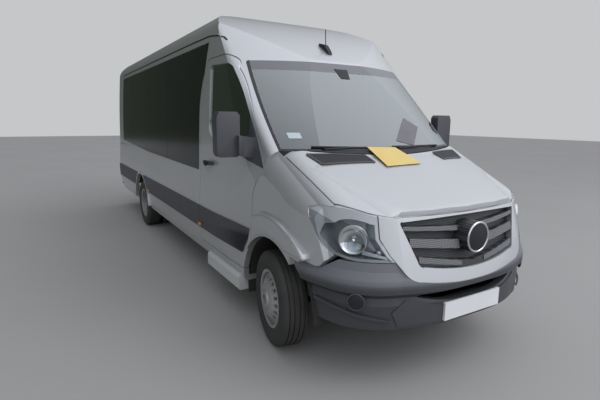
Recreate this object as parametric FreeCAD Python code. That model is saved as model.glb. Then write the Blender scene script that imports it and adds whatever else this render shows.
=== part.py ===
import FreeCAD, Part
import math
import os
from FreeCAD import Vector as V

# High-roof minibus with twin rear wheels, in millimetres.
# While it is modelled, y is measured backwards from the front axle.
# The last step moves all of it so that the bounding box is centred on the origin.
# +X is the vehicle's left, -Y is forwards and +Z is up. The tyres stand on z = 0.

# Main sizes
LENGTH = 7337.0
FRONT_OVERHANG = 996.0
WHEELBASE = 4325.0
TAIL = LENGTH - FRONT_OVERHANG
HEIGHT = 2700.0
SHIFT_Y = FRONT_OVERHANG - LENGTH / 2.0

# Shell
SILL_Z = 345.0
GUTTER_Z = 2372.0
SIDE_T = 45.0
ROOF_T = 38.0
BONNET_T = 28.0
GLASS_T = 6.0
LENS_T = 5.0
GAP = 6.0
REAR_FACE = TAIL - 62.0
REAR_DOOR_T = 48.0

# Floor
FLOOR_TOP = 700.0
FLOOR_T = 50.0
BULKHEAD_Y = -60.0

# Wheels
TYRE_R = 350.0
TYRE_W = 205.0
RIM_R = 203.0
RIM_EDGE_R = 215.0
FRONT_TRACK = 1732.0
REAR_OUTER_TRACK = 1744.0
TWIN_PITCH = 238.0
SPINDLE_R = 32.0
RUN_FIT = 0.05
KINGPIN_X = 700.0
KINGPIN_R = 16.0
REST_STEER = -9.0
FRONT_ARCH_R = 470.0
REAR_ARCH_R = 455.0
TYRE_FACETS = 40
TYRE_PLAY = 0.2

# Doors
DOOR_FRONT_Y = 300.0
DOOR_REAR_Y = 1475.0
DOOR_BOTTOM_Z = 452.0
DOOR_TOP_Z = 2176.0
REAR_DOOR_HALF = 782.0
REAR_DOOR_LOW = 640.0
REAR_DOOR_HIGH = 2366.0
HINGE_X = 779.0
HINGE_OUT = 12.0
HINGE_R = 10.0
HINGE_PIN_R = 5.0
HINGE_HALF = 60.0
HINGE_MID = 25.5
HINGE_HEIGHTS = [800, 1560, 2200]

# Half outline of the cross-section as (x, z), from the bottom centre to the top centre.
# An entry of four numbers is an arc: a point on it, then its end.
SECTION = [
    (0, SILL_Z),
    (948, SILL_Z),
    (972, 430),
    (992, 720, 976, 1010),
    (962, 1210),
    (938, 1800, 896, GUTTER_Z),
    (870, 2462, 800, 2540),
    (735, 2592, 640, 2624),
    (330, HEIGHT - 20, 0, HEIGHT),
]

# Half outline of the lower body in plan as (x, y), from the nose centre to the tail.
PLAN = [
    (0, -FRONT_OVERHANG),
    (160, -994),
    (380, -968, 560, -912),
    (770, -790, 880, -600),
    (925, -420, 945, -120),
    (962, 400, 1012, 1500),
    (1012, REAR_FACE - 110),
    (985, REAR_FACE - 32, 905, REAR_FACE),
    (0, REAR_FACE),
]

# Half outline of the greenhouse in plan at the height RAKE_Z, carried back and up along the rake.
RAKE_Z = 1430.0
RAKE_BACK = 715.0
RAKE_UP = 695.0
RAKE_PLAN = [
    (0, -150),
    (460, -92, 854, 71),
    (900, 110, 922, 190),
    (958, 500, 1030, 1400),
    (1030, REAR_FACE + 900),
    (0, REAR_FACE + 900),
]

# Half outline of the bonnet across the vehicle as (x, z) at the height of the cowl's centre.
BONNET_SLOPE = 377.0 / 750.0
BONNET_TOP_Z = 1436.0
BONNET_TOP_Y = -150.0
BONNET_CROWN = [
    (0, 0),
    (360, -8, 690, -42),
    (800, -72, 868, -150),
    (924, -240, 962, -400),
    (1100, -900),
    (1100, -1500),
    (0, -1500),
]

# Roof outline along the vehicle as (y, z), above the windscreen.
ROOF_LINE = [
    (-100, 1380),
    (600, 2143),
    (1180, 2482, 1960, HEIGHT + 14),
    (5300, HEIGHT + 14),
    (5900, HEIGHT + 2, REAR_FACE - 60, 2646),
    (REAR_FACE - 14, 2610, REAR_FACE, 2550),
    (REAR_FACE, 300),
    (-100, 300),
]

# Half outline of the nose in plan at the height NOSE_Z, carried back and up along its rake.
NOSE_Z = 773.0
NOSE_BACK = 91.0
NOSE_UP = 328.0
NOSE_PLAN = [
    (0, -958),
    (300, -944, 549, -905),
    (725, -798, 862, -600),
    (1120, -420),
    (1120, 900),
    (0, 900),
]

# Windscreen outline from the front as (x, z)
SCREEN_FOOT = (858, 1424)
SCREEN_SIDE = (846, 1760, 806, 2080)
SCREEN_CORNER = (796, 2106, 765, 2114)
SCREEN_TOP_Z = 2122.0

# Front door outline from the side as (y, z), and its window
DOOR = [
    (DOOR_FRONT_Y, 1010),
    (262, 1140, 96, 1258),
    (385, 1700, 715, 2052),
    (795, 2138, 910, DOOR_TOP_Z),
    (1230, DOOR_TOP_Z),
    (1330, 2150, 1385, 2060),
    (1450, 1890, DOOR_REAR_Y, 1640),
    (DOOR_REAR_Y, DOOR_BOTTOM_Z + 40),
    (DOOR_REAR_Y - 12, DOOR_BOTTOM_Z + 12, DOOR_REAR_Y - 40, DOOR_BOTTOM_Z),
    (DOOR_FRONT_Y, DOOR_BOTTOM_Z),
]
DOOR_WINDOW = [
    (150, 1290),
    (424, 1700, 730, 2030),
    (778, 2072, 850, 2096),
    (1190, 2112),
    (1238, 2106, 1250, 2060),
    (1250, 1640),
    (1232, 1530, 1176, 1484),
]
SAIL_REAR_Y = 400.0

# Passenger windows: openings in the side wall as (y0, y1), the band of dark panes outside them
# as (y, z), and where that band is divided
WINDOWS = [(1560, 2690), (2820, 3830), (3960, 4930), (5060, 5800)]
WINDOW_LOW = 1280.0
WINDOW_HIGH = 2250.0
PANE_HIGH = 2322.0
PANE_REAR = 5872.0
PANE_BAND = [
    (1535, 1150),
    (1531, 1677),
    (1500, 1872, 1412, 2054),
    (1366, 2199),
    (1324, PANE_HIGH),
    (PANE_REAR, PANE_HIGH),
    (PANE_REAR, 1256),
    (3716, 1175),
]
PANE_JOINTS = [2755, 3895, 4995]
PANE_JOINT = 6.0

# Bonnet, cowl, bumpers and mouldings
BONNET_SIDE = [(820, -1300), (820, -564), (833, -304), (850, -8)]
BONNET_REAR = (430, -180, 0, -238)
BONNET_LEAN = 0.6
BONNET_FRONT_Z = 1071.0
BONNET_FRONT = [(0, -869), (300, -854, 547, -813), (686, -709, 795, -559), (900, -380), (900, 900), (0, 900)]
COWL_Z = 1424.0
COWL_PLAN = [(0, -232), (430, -174, 852, -2), (856, 72), (450, 30, 0, 20)]
BUMPER_T = 46.0
BUMPER_REAR = -300.0
PLATE_Y = -976.0
PLATE = (260, 431, 547)
MOULD_LOW = 590.0
MOULD_HIGH = 805.0
MOULD_T = 12.0

# Front bumper: height, then how far its outside stands in from the plan outline
BUMPER_BANDS = [
    (386, 70),
    (410, 34),
    (560, 28),
    (605, 42),
    (640, 0),
    (690, 0),
    (720, 6),
    (770, 26),
    (822, 34),
]
# Upper edge of the bumper from the side as (y, z), and the lower edge of the wing above it
BUMPER_EDGE = [(-1200, 822), (-640, 822), (-535, 754), (-500, 748), (-360, 764), (-200, 764)]
WING_EDGE = [(-1200, 900), (-612, 900), (-612, 842), (-535, 760), (-500, 754), (-360, 770), (-200, 770)]
# Half outline of the air intake as (x, z)
INTAKE = [(0, 553), (250, 563, 440, 602), (438, 618), (250, 628, 0, 630)]

# Wipers as (pivot x, then the blade's two ends as x, z)
WIPERS = [(-560, -640, 1450, -30, 1436), (60, 20, 1444, 600, 1438)]
# Side view of the aerial's foot, and its mast, as (y, z)
AERIAL_FOOT = [(690, 2180), (698, 2236), (760, 2304), (812, 2318), (852, 2330), (858, 2280)]
AERIAL_MAST = [(768, 2290), (776, 2440)]

# Ventilation holes of the rims
RIM_HOLES = 10
RIM_HOLE_R = 15.0

# Half outlines on the nose from the front as (x, z): edge between lamp and grille surround, the
# surround below it, and the grille opening
LAMP_INNER = [(590, 830), (614, 866), (655, 958), (650, 1062), (640, 1200)]
SURROUND = [(0, 669), (230, 678, 430, 705), (515, 735, 549, 773)]
GRILLE_OPENING = [(0, 743), (215, 756, 400, 785), (437, 795, 449, 820), (530, 1036), (529, 1050, 512, 1052),
                  (260, 1060, 0, 1062)]
# Slats: upper edge at the centre and at x = 600, then lower edge at the same places
SLATS = [(994, 1027, 965, 1003), (908, 958, 858, 913), (778, 862, 739, 811)]
DISC_R = 100.0
DISC_AT = (-970.0, 929.0)
# Headlamp: outer edge from the front as (x, z), and rear edge from the side as (y, z)
LAMP_OUTER = [(812, 1200), (816, 1132), (864, 1130), (902, 1110), (1100, 1106), (1100, 826), (586, 826)]
LAMP_REAR = [(-753, 824), (-687, 832), (-612, 850), (-568, 876), (-516, 936), (-451, 1038), (-405, 1112), (-380, 1160)]
LAMP_RIM = 16.0

# Seats: (x, y of the cushion's front edge, width), then the rows behind
CAB_SEATS = [(450, 760, 500), (-235, 760, 430), (-680, 760, 430)]
ROW_FIRST = 1800.0
ROW_PITCH = 770.0
ROW_COUNT = 5
ROW_SEATS = [(-680, 430), (-238, 430), (650, 430)]
# Side view of a seat as (y, z) from the cushion's front edge and the floor
SEAT = [(0, 330), (-10, 420), (20, 452), (420, 424), (530, 990), (552, 1016), (606, 1020), (628, 985), (560, 420),
        (520, 318)]


def at(plane, a, b, c):
    """Point from two coordinates in a plane and one across it."""
    if plane == "xz":
        return V(a, c, b)
    if plane == "yz":
        return V(c, a, b)
    return V(a, b, c)


NORMAL = {"xz": V(0, 1, 0), "yz": V(1, 0, 0), "xy": V(0, 0, 1)}


def face(points, plane, c=0.0):
    """Closed face of straight lines and of arcs."""
    edges = []
    for i, q in enumerate(points):
        p = points[i - 1]
        a = at(plane, p[-2], p[-1], c)
        b = at(plane, q[-2], q[-1], c)
        if (a - b).Length < 1e-6:
            continue
        if len(q) == 4:
            edges.append(Part.Arc(a, at(plane, q[0], q[1], c), b).toShape())
        else:
            edges.append(Part.LineSegment(a, b).toShape())
    return Part.Face(Part.Wire(edges))


def both_halves(half):
    """Full outline from a half that starts and ends on the centre line."""
    full = list(half[1:])
    for i in range(len(half) - 1, 0, -1):
        p = half[i]
        end = half[i - 1][-2:]
        if len(p) == 4:
            full.append((-p[0], p[1], -end[0], end[1]))
        else:
            full.append((-end[0], end[1]))
    return full


def arc_centre(p, m, q):
    """Centre of the circle through three points."""
    d = 2 * (p[0] * (m[1] - q[1]) + m[0] * (q[1] - p[1]) + q[0] * (p[1] - m[1]))
    pp, mm, qq = (p[0] ** 2 + p[1] ** 2, m[0] ** 2 + m[1] ** 2, q[0] ** 2 + q[1] ** 2)
    return ((pp * (m[1] - q[1]) + mm * (q[1] - p[1]) + qq * (p[1] - m[1])) / d,
            (pp * (q[0] - m[0]) + mm * (p[0] - q[0]) + qq * (m[0] - p[0])) / d)


def unit(v):
    n = math.hypot(v[0], v[1])
    return (v[0] / n, v[1] / n)


def smaller(points, t):
    """The outline moved inwards by t, with the same lines and arcs."""
    ends = [p[-2:] for p in points]
    area = sum(ends[i - 1][0] * ends[i][1] - ends[i][0] * ends[i - 1][1] for i in range(len(ends)))
    turn = 1.0 if area > 0 else -1.0
    starts, stops, mids = [], [], []
    for i, q in enumerate(points):
        p = ends[i - 1]
        e = ends[i]
        if len(q) == 4:
            c = arc_centre(p, q[:2], e)
            chord = unit((e[0] - p[0], e[1] - p[1]))
            found = []
            for at_point in (p, q[:2], e):
                n = unit((c[0] - at_point[0], c[1] - at_point[1]))
                side_of = turn * (chord[0] * n[1] - chord[1] * n[0])
                found.append(n if side_of > 0 else (-n[0], -n[1]))
            starts.append(found[0])
            mids.append((q[0] + t * found[1][0], q[1] + t * found[1][1]))
            stops.append(found[2])
        else:
            d = unit((e[0] - p[0], e[1] - p[1]))
            n = (-turn * d[1], turn * d[0])
            starts.append(n)
            mids.append(())
            stops.append(n)
    out = []
    for i in range(len(points)):
        n1, n2 = stops[i], starts[(i + 1) % len(points)]
        k = t / (1 + n1[0] * n2[0] + n1[1] * n2[1])
        end = (ends[i][0] + k * (n1[0] + n2[0]), ends[i][1] + k * (n1[1] + n2[1]))
        out.append(mids[i] + end)
    return out


def prism(points, plane, lo, hi, inset=0.0):
    """Outline carried straight across its plane from lo to hi."""
    if inset:
        points = smaller(points, inset)
    return face(points, plane, lo).extrude(NORMAL[plane] * (hi - lo))


def box(x0, x1, y0, y1, z0, z1):
    return Part.makeBox(x1 - x0, y1 - y0, z1 - z0, V(x0, y0, z0))


def rod(p, q, r):
    """Round bar from p to q."""
    d = q - p
    return Part.makeCylinder(r, d.Length, p, d)


def mirror(shape):
    return shape.mirror(V(0, 0, 0), V(1, 0, 0))


def pair(shape):
    """The shape and its mirror image, as two solids."""
    return Part.makeCompound([shape, mirror(shape)])


def turned(profile):
    """Outline of (x, r) turned about the X axis."""
    f = face([(x, r) for x, r in profile], "xz")
    return f.revolve(V(0, 0, 0), V(1, 0, 0), 360)


def leaning(outline, z, back, up, t, start=2, total=5):
    """Plan outline at the height z, inset by t and carried along a slope."""
    base = face(smaller(outline, t) if t else outline, "xy", z)
    base.translate(V(0, -start * back, -start * up))
    return base.extrude(V(0, total * back, total * up))


# The body's outside, made smaller by t all round for its inside
def nose_form(t):
    return leaning(both_halves(NOSE_PLAN), NOSE_Z, NOSE_BACK, NOSE_UP, t)


def bonnet_form(t):
    crown = [tuple(v + (BONNET_TOP_Z if k % 2 else 0) for k, v in enumerate(p)) for p in BONNET_CROWN]
    crown = both_halves(crown)
    crown_face = face(smaller(crown, t) if t else crown, "xz", BONNET_TOP_Y + 1500)
    crown_face.translate(V(0, 0, 1500 * BONNET_SLOPE))
    return crown_face.extrude(V(0, -3000, -3000 * BONNET_SLOPE))


def lower_body(t):
    across = prism(both_halves(SECTION), "xz", -1200, 700, t)
    plan = prism(both_halves(PLAN), "xy", 200, 1700, t)
    return across.common(nose_form(t).common(bonnet_form(t))).common(plan)


def upper_body(t, rake_t=None):
    across = prism(both_halves(SECTION), "xz", -1100, TAIL + 100, t)
    inset = t if rake_t is None else rake_t
    raked = leaning(both_halves(RAKE_PLAN), RAKE_Z, RAKE_BACK, RAKE_UP, inset, 2, 4)
    roof = prism(ROOF_LINE, "yz", -1100, 1100, t)
    plan = prism(both_halves(PLAN), "xy", 200, HEIGHT + 100, t)
    return across.common(plan).common(roof.common(raked))


LOW0 = lower_body(0)
UP0 = upper_body(0)


def upper_shell(t, rake_t=None):
    return UP0.cut(upper_body(t, rake_t))


def arch(y, r, x0, x1):
    """Round wheel opening, carried down below the sill."""
    return prism([(y - r, -10), (y - r, TYRE_R), (y, TYRE_R + r, y + r, TYRE_R), (y + r, -10)], "yz", x0, x1)


FAR = 1300.0
NODES = {}

# Full side skin before it is divided
SKIN = upper_shell(SIDE_T, SIDE_T * 1.4)

door_hole = prism(DOOR, "yz", -FAR, -500)
front_arch = arch(0, FRONT_ARCH_R, -FAR, -500)
rear_arch = arch(WHEELBASE, REAR_ARCH_R, -FAR, -500)

# Side wall: sill, pillars, cantrail and rear quarter
side_zone = box(-FAR, -REAR_DOOR_HALF, -60, REAR_FACE + 1, SILL_Z - 1, GUTTER_Z)
side_x, side_z = SCREEN_SIDE[2:]
screen_zone = prism(both_halves([(0, 1300), (SCREEN_FOOT[0], 1300), SCREEN_FOOT, SCREEN_SIDE, (side_x, 2500),
                                 (0, 2500)]), "xz", -300, 1250)
SEAM = [(160, 1290), (60, COWL_Z)]
nose_zone = prism([(-1200, 200), (DOOR_FRONT_Y, 200), (DOOR_FRONT_Y, 420), (500, 520), (500, 1200)]
                  + SEAM + [(-1200, COWL_Z)], "yz", -FAR, FAR)
side = SKIN.common(side_zone).cut(screen_zone).cut(nose_zone).cut(door_hole).cut(front_arch).cut(rear_arch)
for y0, y1 in WINDOWS:
    side = side.cut(box(-FAR, -500, y0, y1, WINDOW_LOW, WINDOW_HIGH))
across = both_halves(SECTION)
pane_skin = prism(across, "xz", 1300, PANE_REAR + 10).cut(prism(across, "xz", 1200, PANE_REAR + 100, GLASS_T))
side = side.cut(pane_skin.common(prism(PANE_BAND, "yz", -FAR, -500, -3)))
rear_flare = arch(WHEELBASE, REAR_ARCH_R + 34, -1000, -948).cut(arch(WHEELBASE, REAR_ARCH_R, -1100, -900))
rear_flare = rear_flare.common(box(-1100, -900, 3000, 6000, SILL_Z + 40, 1200))
side = side.fuse(rear_flare)
tail_lamp = box(-892, -800, REAR_FACE - 22, REAR_FACE, 980, 1480)
side = side.cut(tail_lamp)


def hinge_piece(z0, z1, turn):
    """Knuckle of a rear hinge between two heights, with the block that carries it."""
    y = REAR_FACE + HINGE_OUT
    x0, x1 = sorted((-HINGE_X, -HINGE_X - turn * 22))
    return Part.makeCylinder(HINGE_R, z1 - z0, V(-HINGE_X, y, z0)).fuse(box(x0, x1, REAR_FACE + 1, y, z0, z1))


for z in HINGE_HEIGHTS:
    plate = box(-HINGE_X - 56, -HINGE_X - 11, REAR_FACE - 2, REAR_FACE + 6, z - HINGE_HALF, z + HINGE_HALF)
    pin = Part.makeCylinder(HINGE_PIN_R, 2 * HINGE_HALF, V(-HINGE_X, REAR_FACE + HINGE_OUT, z - HINGE_HALF))
    low = hinge_piece(z - HINGE_HALF, z - HINGE_MID - 0.5, 1)
    high = hinge_piece(z + HINGE_MID + 0.5, z + HINGE_HALF, 1)
    side = side.fuse(plate.fuse(low).fuse(high).fuse(pin))
NODES["side_wall_right"] = side
NODES["side_wall_left"] = mirror(side)
NODES["tail_lamps"] = pair(tail_lamp)

# Panes bonded over the openings
band = pane_skin.common(prism(PANE_BAND, "yz", -FAR, -500))
panes = []
for y0, y1 in zip([1300] + PANE_JOINTS, PANE_JOINTS + [PANE_REAR + 9]):
    pane = band.common(box(-FAR, -700, y0 + PANE_JOINT / 2, y1 - PANE_JOINT / 2, 1000, 2500))
    panes += [pane, mirror(pane)]
NODES["side_glass"] = Part.makeCompound(panes)

# Front door with its window cut
door_room = prism(DOOR, "yz", -FAR, -500, GAP)
window_zone = prism(DOOR_WINDOW, "yz", -FAR, -500)
door = SKIN.common(door_room).cut(window_zone).cut(arch(0, FRONT_ARCH_R + GAP, -FAR, -500)).cut(screen_zone)
door_glass = upper_body(14, 20).common(window_zone).cut(upper_body(20, 28))
door_flare = prism([(DOOR_FRONT_Y + GAP, 850), (424, 500), (DOOR_FRONT_Y + GAP, 500)], "yz", -974, -930).cut(
    arch(0, FRONT_ARCH_R + GAP, -FAR, -500))
door = door.fuse(door_flare)
NODES["door_right"] = door
NODES["door_left"] = mirror(door)
NODES["door_glass_right"] = door_glass
NODES["door_glass_left"] = mirror(door_glass)

# Mirror head, its arm, the door handle and the door's part of the moulding
head = prism([(-1203, 1376), (-1213, 1402), (-1213, 1650), (-1193, 1693), (-1055, 1693), (-1032, 1668),
              (-1036, 1402), (-1056, 1366), (-1185, 1366)], "xz", 335, 425)
arm = prism([(-1062, 1377), (-1062, 1525), (-880, 1500), (-880, 1350)], "xz", 290, 345).cut(UP0)
sail = UP0.cut(upper_body(14, 20)).common(window_zone).common(box(-FAR, -500, 0, SAIL_REAR_Y, 1000, 1900))
handle = box(-1002, -900, 1115, 1300, 1228, 1258).cut(UP0)
strip = prism(both_halves(PLAN), "xy", MOULD_LOW, MOULD_HIGH, -MOULD_T).common(
    prism(both_halves(SECTION), "xz", 300, REAR_FACE - 60, -MOULD_T)).cut(UP0)
door_strip = strip.common(prism(DOOR, "yz", -FAR, -500, GAP)).cut(arch(0, FRONT_ARCH_R + 60, -FAR, -500)).cut(
    door_flare)
NODES["door_trim_right"] = Part.makeCompound([head.fuse(arm).fuse(sail), handle, door_strip])
NODES["door_trim_left"] = mirror(NODES["door_trim_right"])

# Mouldings along the wall, and mudflaps
wall_strip = strip.common(box(-FAR, -700, DOOR_REAR_Y, REAR_FACE - 60, 0, 1200)).cut(
    arch(WHEELBASE, REAR_ARCH_R + 34, -FAR, -500))
flap = box(-915, -720, FRONT_ARCH_R + 8, FRONT_ARCH_R + 18, 235, SILL_Z)
rear_flap = box(-915, -540, WHEELBASE + REAR_ARCH_R + 8, WHEELBASE + REAR_ARCH_R + 18, 235, SILL_Z)
NODES["side_mouldings"] = Part.makeCompound([wall_strip, mirror(wall_strip)])
NODES["mudflaps"] = Part.makeCompound([flap, mirror(flap), rear_flap, mirror(rear_flap)])

# Room of the bonnet: straight down at its sides and rear, and leaning forwards along its front
# edge, so that the lid can swing up and forwards
bonnet_plan = both_halves([(0, -1300)] + BONNET_SIDE + [BONNET_REAR])
bonnet_hole = prism(bonnet_plan, "xy", 900, 2000)


def lid_zone(t):
    front = leaning(both_halves(BONNET_FRONT), BONNET_FRONT_Z, -BONNET_LEAN * 100, 100, t, 2, 7)
    return prism(bonnet_plan, "xy", 900, 2000, t).common(front)


lid_cut = lid_zone(0).cut(bonnet_form(BONNET_T + GAP))

# Headlamp room from its outline from the front and its rear edge from the side
lamp_front = LAMP_INNER + LAMP_OUTER
lamp_side = [(-1200, 600), (LAMP_REAR[0][0], 600)] + LAMP_REAR + [(LAMP_REAR[-1][0], 1400), (-1200, 1400)]


def lamp_zone(t):
    return mirror(prism(lamp_front, "xz", -1200, 200, t)).common(prism(lamp_side, "yz", -FAR, 0, t))


# Wing: skin ahead of the door, with the flare over the wheel
nose_side = prism([(-1200, 200), (420, 200), (420, 1100)] + SEAM + [(-1200, COWL_Z)], "yz", -FAR, -560)
under_wing = prism(WING_EDGE + [(-200, 0), (-1200, 0)], "yz", -FAR, 0)
wing = LOW0.common(nose_side).common(box(-FAR, -700, -800, 400, SILL_Z, COWL_Z)).cut(lower_body(SIDE_T))
wing = wing.cut(bonnet_hole).cut(lamp_zone(0)).cut(front_arch).cut(under_wing.common(box(-FAR, 0, -1200, -300, 0, 900)))
wing = wing.cut(prism(both_halves(COWL_PLAN), "xy", 1200, 1600)).cut(door_hole)
flare = prism([(-452, 812), (-190, 938, 78, 974), (250, 930, 294, 860), (294, 700), (294, 420), (-400, 420),
               (-400, 740)], "yz", -978, -890)
flare = flare.cut(arch(0, FRONT_ARCH_R, -1100, -800)).cut(under_wing.common(box(-FAR, 0, -1200, -300, 0, 900)))
wing = wing.fuse(flare.cut(lower_body(SIDE_T)))
NODES["wings"] = pair(wing)

# Bonnet, the cowl behind it and the windscreen
NODES["bonnet"] = LOW0.common(lid_zone(GAP)).cut(bonnet_form(BONNET_T))
cowl = LOW0.common(prism(both_halves(COWL_PLAN), "xy", 1200, COWL_Z)).cut(lower_body(BONNET_T)).cut(bonnet_hole)
NODES["cowl"] = cowl
screen = both_halves([(0, SCREEN_FOOT[1]), SCREEN_FOOT, SCREEN_SIDE, SCREEN_CORNER,
                      (400, SCREEN_TOP_Z - 2, 0, SCREEN_TOP_Z)])
NODES["windscreen"] = UP0.common(prism(screen, "xz", -300, 1000)).cut(upper_body(GLASS_T, 9))

# Roof with the header over the windscreen
header = box(-side_x, side_x, -300, 1250, side_z, GUTTER_Z + 5).cut(prism(screen, "xz", -400, 1300))
roof_zone = header.fuse(box(-FAR, FAR, -300, REAR_FACE + 10, GUTTER_Z, 2900))
NODES["roof_panel"] = UP0.common(roof_zone).cut(upper_body(ROOF_T, ROOF_T * 1.4))

# Nose panel round the grille opening, and the grille in it: mesh, slats and the plain disc
inner_edge = [(x - GAP / 2, z) for x, z in LAMP_INNER]
surround = prism(both_halves(SURROUND + inner_edge + [(0, 1200)]), "xz", -1100, -650)
grille_room = prism(both_halves(GRILLE_OPENING), "xz", -1100, -500)
nose_panel = LOW0.common(surround).cut(nose_form(SIDE_T)).cut(lid_cut)
NODES["nose_panel"] = nose_panel.cut(grille_room)
grille = nose_form(50).common(grille_room).cut(nose_form(60))
front_layer = nose_form(12).common(grille_room).cut(nose_form(50))
for top, top_out, low, low_out in SLATS:
    slat = [(0, low), (600, low_out), (600, top_out), (0, top), (-600, top_out), (-600, low_out)]
    grille = grille.fuse(front_layer.common(prism(slat, "xz", -1100, -500)))
disc = Part.makeCylinder(DISC_R, 115, V(0, DISC_AT[0], DISC_AT[1]), V(0, 1, 0))
NODES["grille"] = grille.fuse(disc).cut(lid_cut)

# Headlamps: housing behind a thin lens
lens = LOW0.common(lamp_zone(0)).cut(lower_body(LENS_T)).cut(lid_cut)
housing = lower_body(LENS_T).common(lamp_zone(0)).cut(lower_body(90)).cut(lid_cut)
bowl = lower_body(LENS_T).common(lamp_zone(LAMP_RIM)).cut(lower_body(70)).common(bonnet_form(BONNET_T + GAP + LAMP_RIM))
NODES["headlamp_lenses"] = pair(lens)
NODES["headlamps"] = pair(housing.cut(bowl))

# Front bumper with intake and number plate seat
front_plan = both_halves(PLAN[:5] + [(0, -120)])


def bumper_form(t):
    """Bands of the bumper's outside, from the bottom to the top, inset by t."""
    wires = [face(smaller(front_plan, inset + t), "xy", z).OuterWire for z, inset in BUMPER_BANDS]
    return Part.makeLoft(wires, True, True)


edge = prism(BUMPER_EDGE + [(-200, 0), (-1200, 0)], "yz", -FAR, FAR)
bumper = bumper_form(0.01).cut(bumper_form(BUMPER_T)).common(edge).common(box(-FAR, FAR, -1200, BUMPER_REAR, 0, 1000))
bumper = bumper.cut(prism(both_halves(SURROUND + LAMP_INNER + [(0, 1200)]), "xz", -1200, -500))
bumper = bumper.cut(arch(0, FRONT_ARCH_R, -FAR, FAR)).cut(prism(both_halves(INTAKE), "xz", -1200, -500))
plate = box(-PLATE[0], PLATE[0], PLATE_Y, PLATE_Y + 26, PLATE[1], PLATE[2])
NODES["front_bumper"] = bumper.cut(plate)

# Rear bumper, rear plate
rear_bumper = prism(both_halves([(0, REAR_FACE), (960, REAR_FACE), (960, TAIL - 34), (926, TAIL), (0, TAIL)]), "xy",
                    400, 585)
rear_plate = box(-260, 260, TAIL - 12, TAIL, 435, 549)
NODES["rear_bumper"] = rear_bumper.cut(rear_plate)
NODES["number_plates"] = Part.makeCompound([plate, rear_plate])

# Rear doors
rear_box = box(-REAR_DOOR_HALF + GAP, -GAP / 2, REAR_FACE - 60, REAR_FACE + 1, REAR_DOOR_LOW + GAP, REAR_DOOR_HIGH)
pane = box(-690, -110, REAR_FACE - 20, REAR_FACE - 14, 1300, 2150)
rear_door = SKIN.common(rear_box).cut(box(-690, -110, 6000, 6500, 1300, 2150))
for z in HINGE_HEIGHTS:
    plate_on = box(-HINGE_X + 11, -HINGE_X + 56, REAR_FACE - 2, REAR_FACE + 6, z - HINGE_MID, z + HINGE_MID)
    rear_door = rear_door.fuse(plate_on.fuse(hinge_piece(z - HINGE_MID, z + HINGE_MID, -1)))
    rear_door = rear_door.cut(Part.makeCylinder(HINGE_PIN_R + RUN_FIT, 2 * HINGE_HALF,
                                                V(-HINGE_X, REAR_FACE + HINGE_OUT, z - HINGE_HALF)))
NODES["rear_door_right"] = rear_door
NODES["rear_door_left"] = mirror(rear_door)
NODES["rear_glass_right"] = pane
NODES["rear_glass_left"] = mirror(pane)

# Floor with the bulkhead and wheel housings
inside = upper_body(SIDE_T, SIDE_T * 1.4)
door_side = prism(DOOR, "yz", -FAR, 0).common(UP0).cut(upper_body(SIDE_T + GAP, (SIDE_T + GAP) * 1.4))
BACK = REAR_FACE - SIDE_T - GAP
floor = inside.common(box(-FAR, FAR, BULKHEAD_Y, BACK, FLOOR_TOP - FLOOR_T, FLOOR_TOP))
bulkhead = lower_body(BONNET_T).common(box(-880, 880, BULKHEAD_Y - 40, BULKHEAD_Y, FLOOR_TOP - FLOOR_T, COWL_Z))
floor = floor.fuse(bulkhead.common(inside.fuse(box(-880, 880, -200, 0, 0, COWL_Z))))
for y, r, x_in in ((0, FRONT_ARCH_R, -530), (WHEELBASE, REAR_ARCH_R, -505)):
    cover = arch(y, r + 26, -898, x_in + 12).common(box(-FAR, FAR, y - 600, y + 600, SILL_Z, 1200))
    room = arch(y, r + 4, -FAR, x_in)
    for flip in (False, True):
        a, b = (mirror(cover), mirror(room)) if flip else (cover, room)
        floor = floor.fuse(a).cut(b)
threshold = box(-REAR_DOOR_HALF, REAR_DOOR_HALF, REAR_FACE - 60, REAR_FACE, 400, REAR_DOOR_LOW)
floor = floor.fuse(threshold).fuse(box(-REAR_DOOR_HALF, REAR_DOOR_HALF, REAR_FACE - 110, BACK, 400, FLOOR_TOP))
for x0, x1 in ((-530, -480), (480, 530)):
    floor = floor.cut(box(x0, x1, WHEELBASE - 560, WHEELBASE + 560, 0, 430))
floor = floor.cut(door_side).cut(mirror(door_side))
for name in ("wings", "side_wall_right", "side_wall_left", "bonnet", "cowl", "headlamps", "front_bumper"):
    floor = floor.cut(NODES[name])
NODES["floor_pan"] = floor

# Chassis rails with cross-members
rails = []
RAIL = (380, 450, 520, FLOOR_TOP - FLOOR_T)
for sx in (1, -1):
    x0, x1 = sorted((sx * RAIL[0], sx * RAIL[1]))
    rails.append(box(x0, x1, -1000, REAR_FACE, RAIL[2], RAIL[3]))
frame = rails[0].fuse(rails[1])
for y in (-860, 620, 2300, 3620, 5000, 6060):
    frame = frame.fuse(box(-400, 400, y, y + 70, RAIL[2] + 10, RAIL[3] - 10))
frame = frame.fuse(box(-400, 400, -460, -320, 440, RAIL[2] + 5))
frame = frame.common(prism(both_halves(PLAN), "xy", 0, 1200, 2 * BUMPER_T + 6)).cut(floor)
NODES["chassis_rails"] = frame

# Engine as one plain block with the gearbox behind it
engine = box(-260, 260, -640, -120, RAIL[2] + 5, 1080).fuse(box(-150, 150, -120, 520, 460, 610))
NODES["engine"] = engine.cut(floor).cut(frame)

# Front axle beam with the pins that the knuckles turn on
beam = box(-520, 520, -90, 90, 250, 330).fuse(box(-450, -380, -70, 70, 320, RAIL[2])).fuse(
    box(380, 450, -70, 70, 320, RAIL[2]))
for sx in (1, -1):
    x0, x1 = sorted((sx * 500, sx * (KINGPIN_X + 34)))
    beam = beam.fuse(box(x0, x1, -50, 50, 252, 292))
    beam = beam.fuse(Part.makeCylinder(KINGPIN_R, 60, V(sx * KINGPIN_X, 0, 285)))
NODES["front_axle"] = beam

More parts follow.
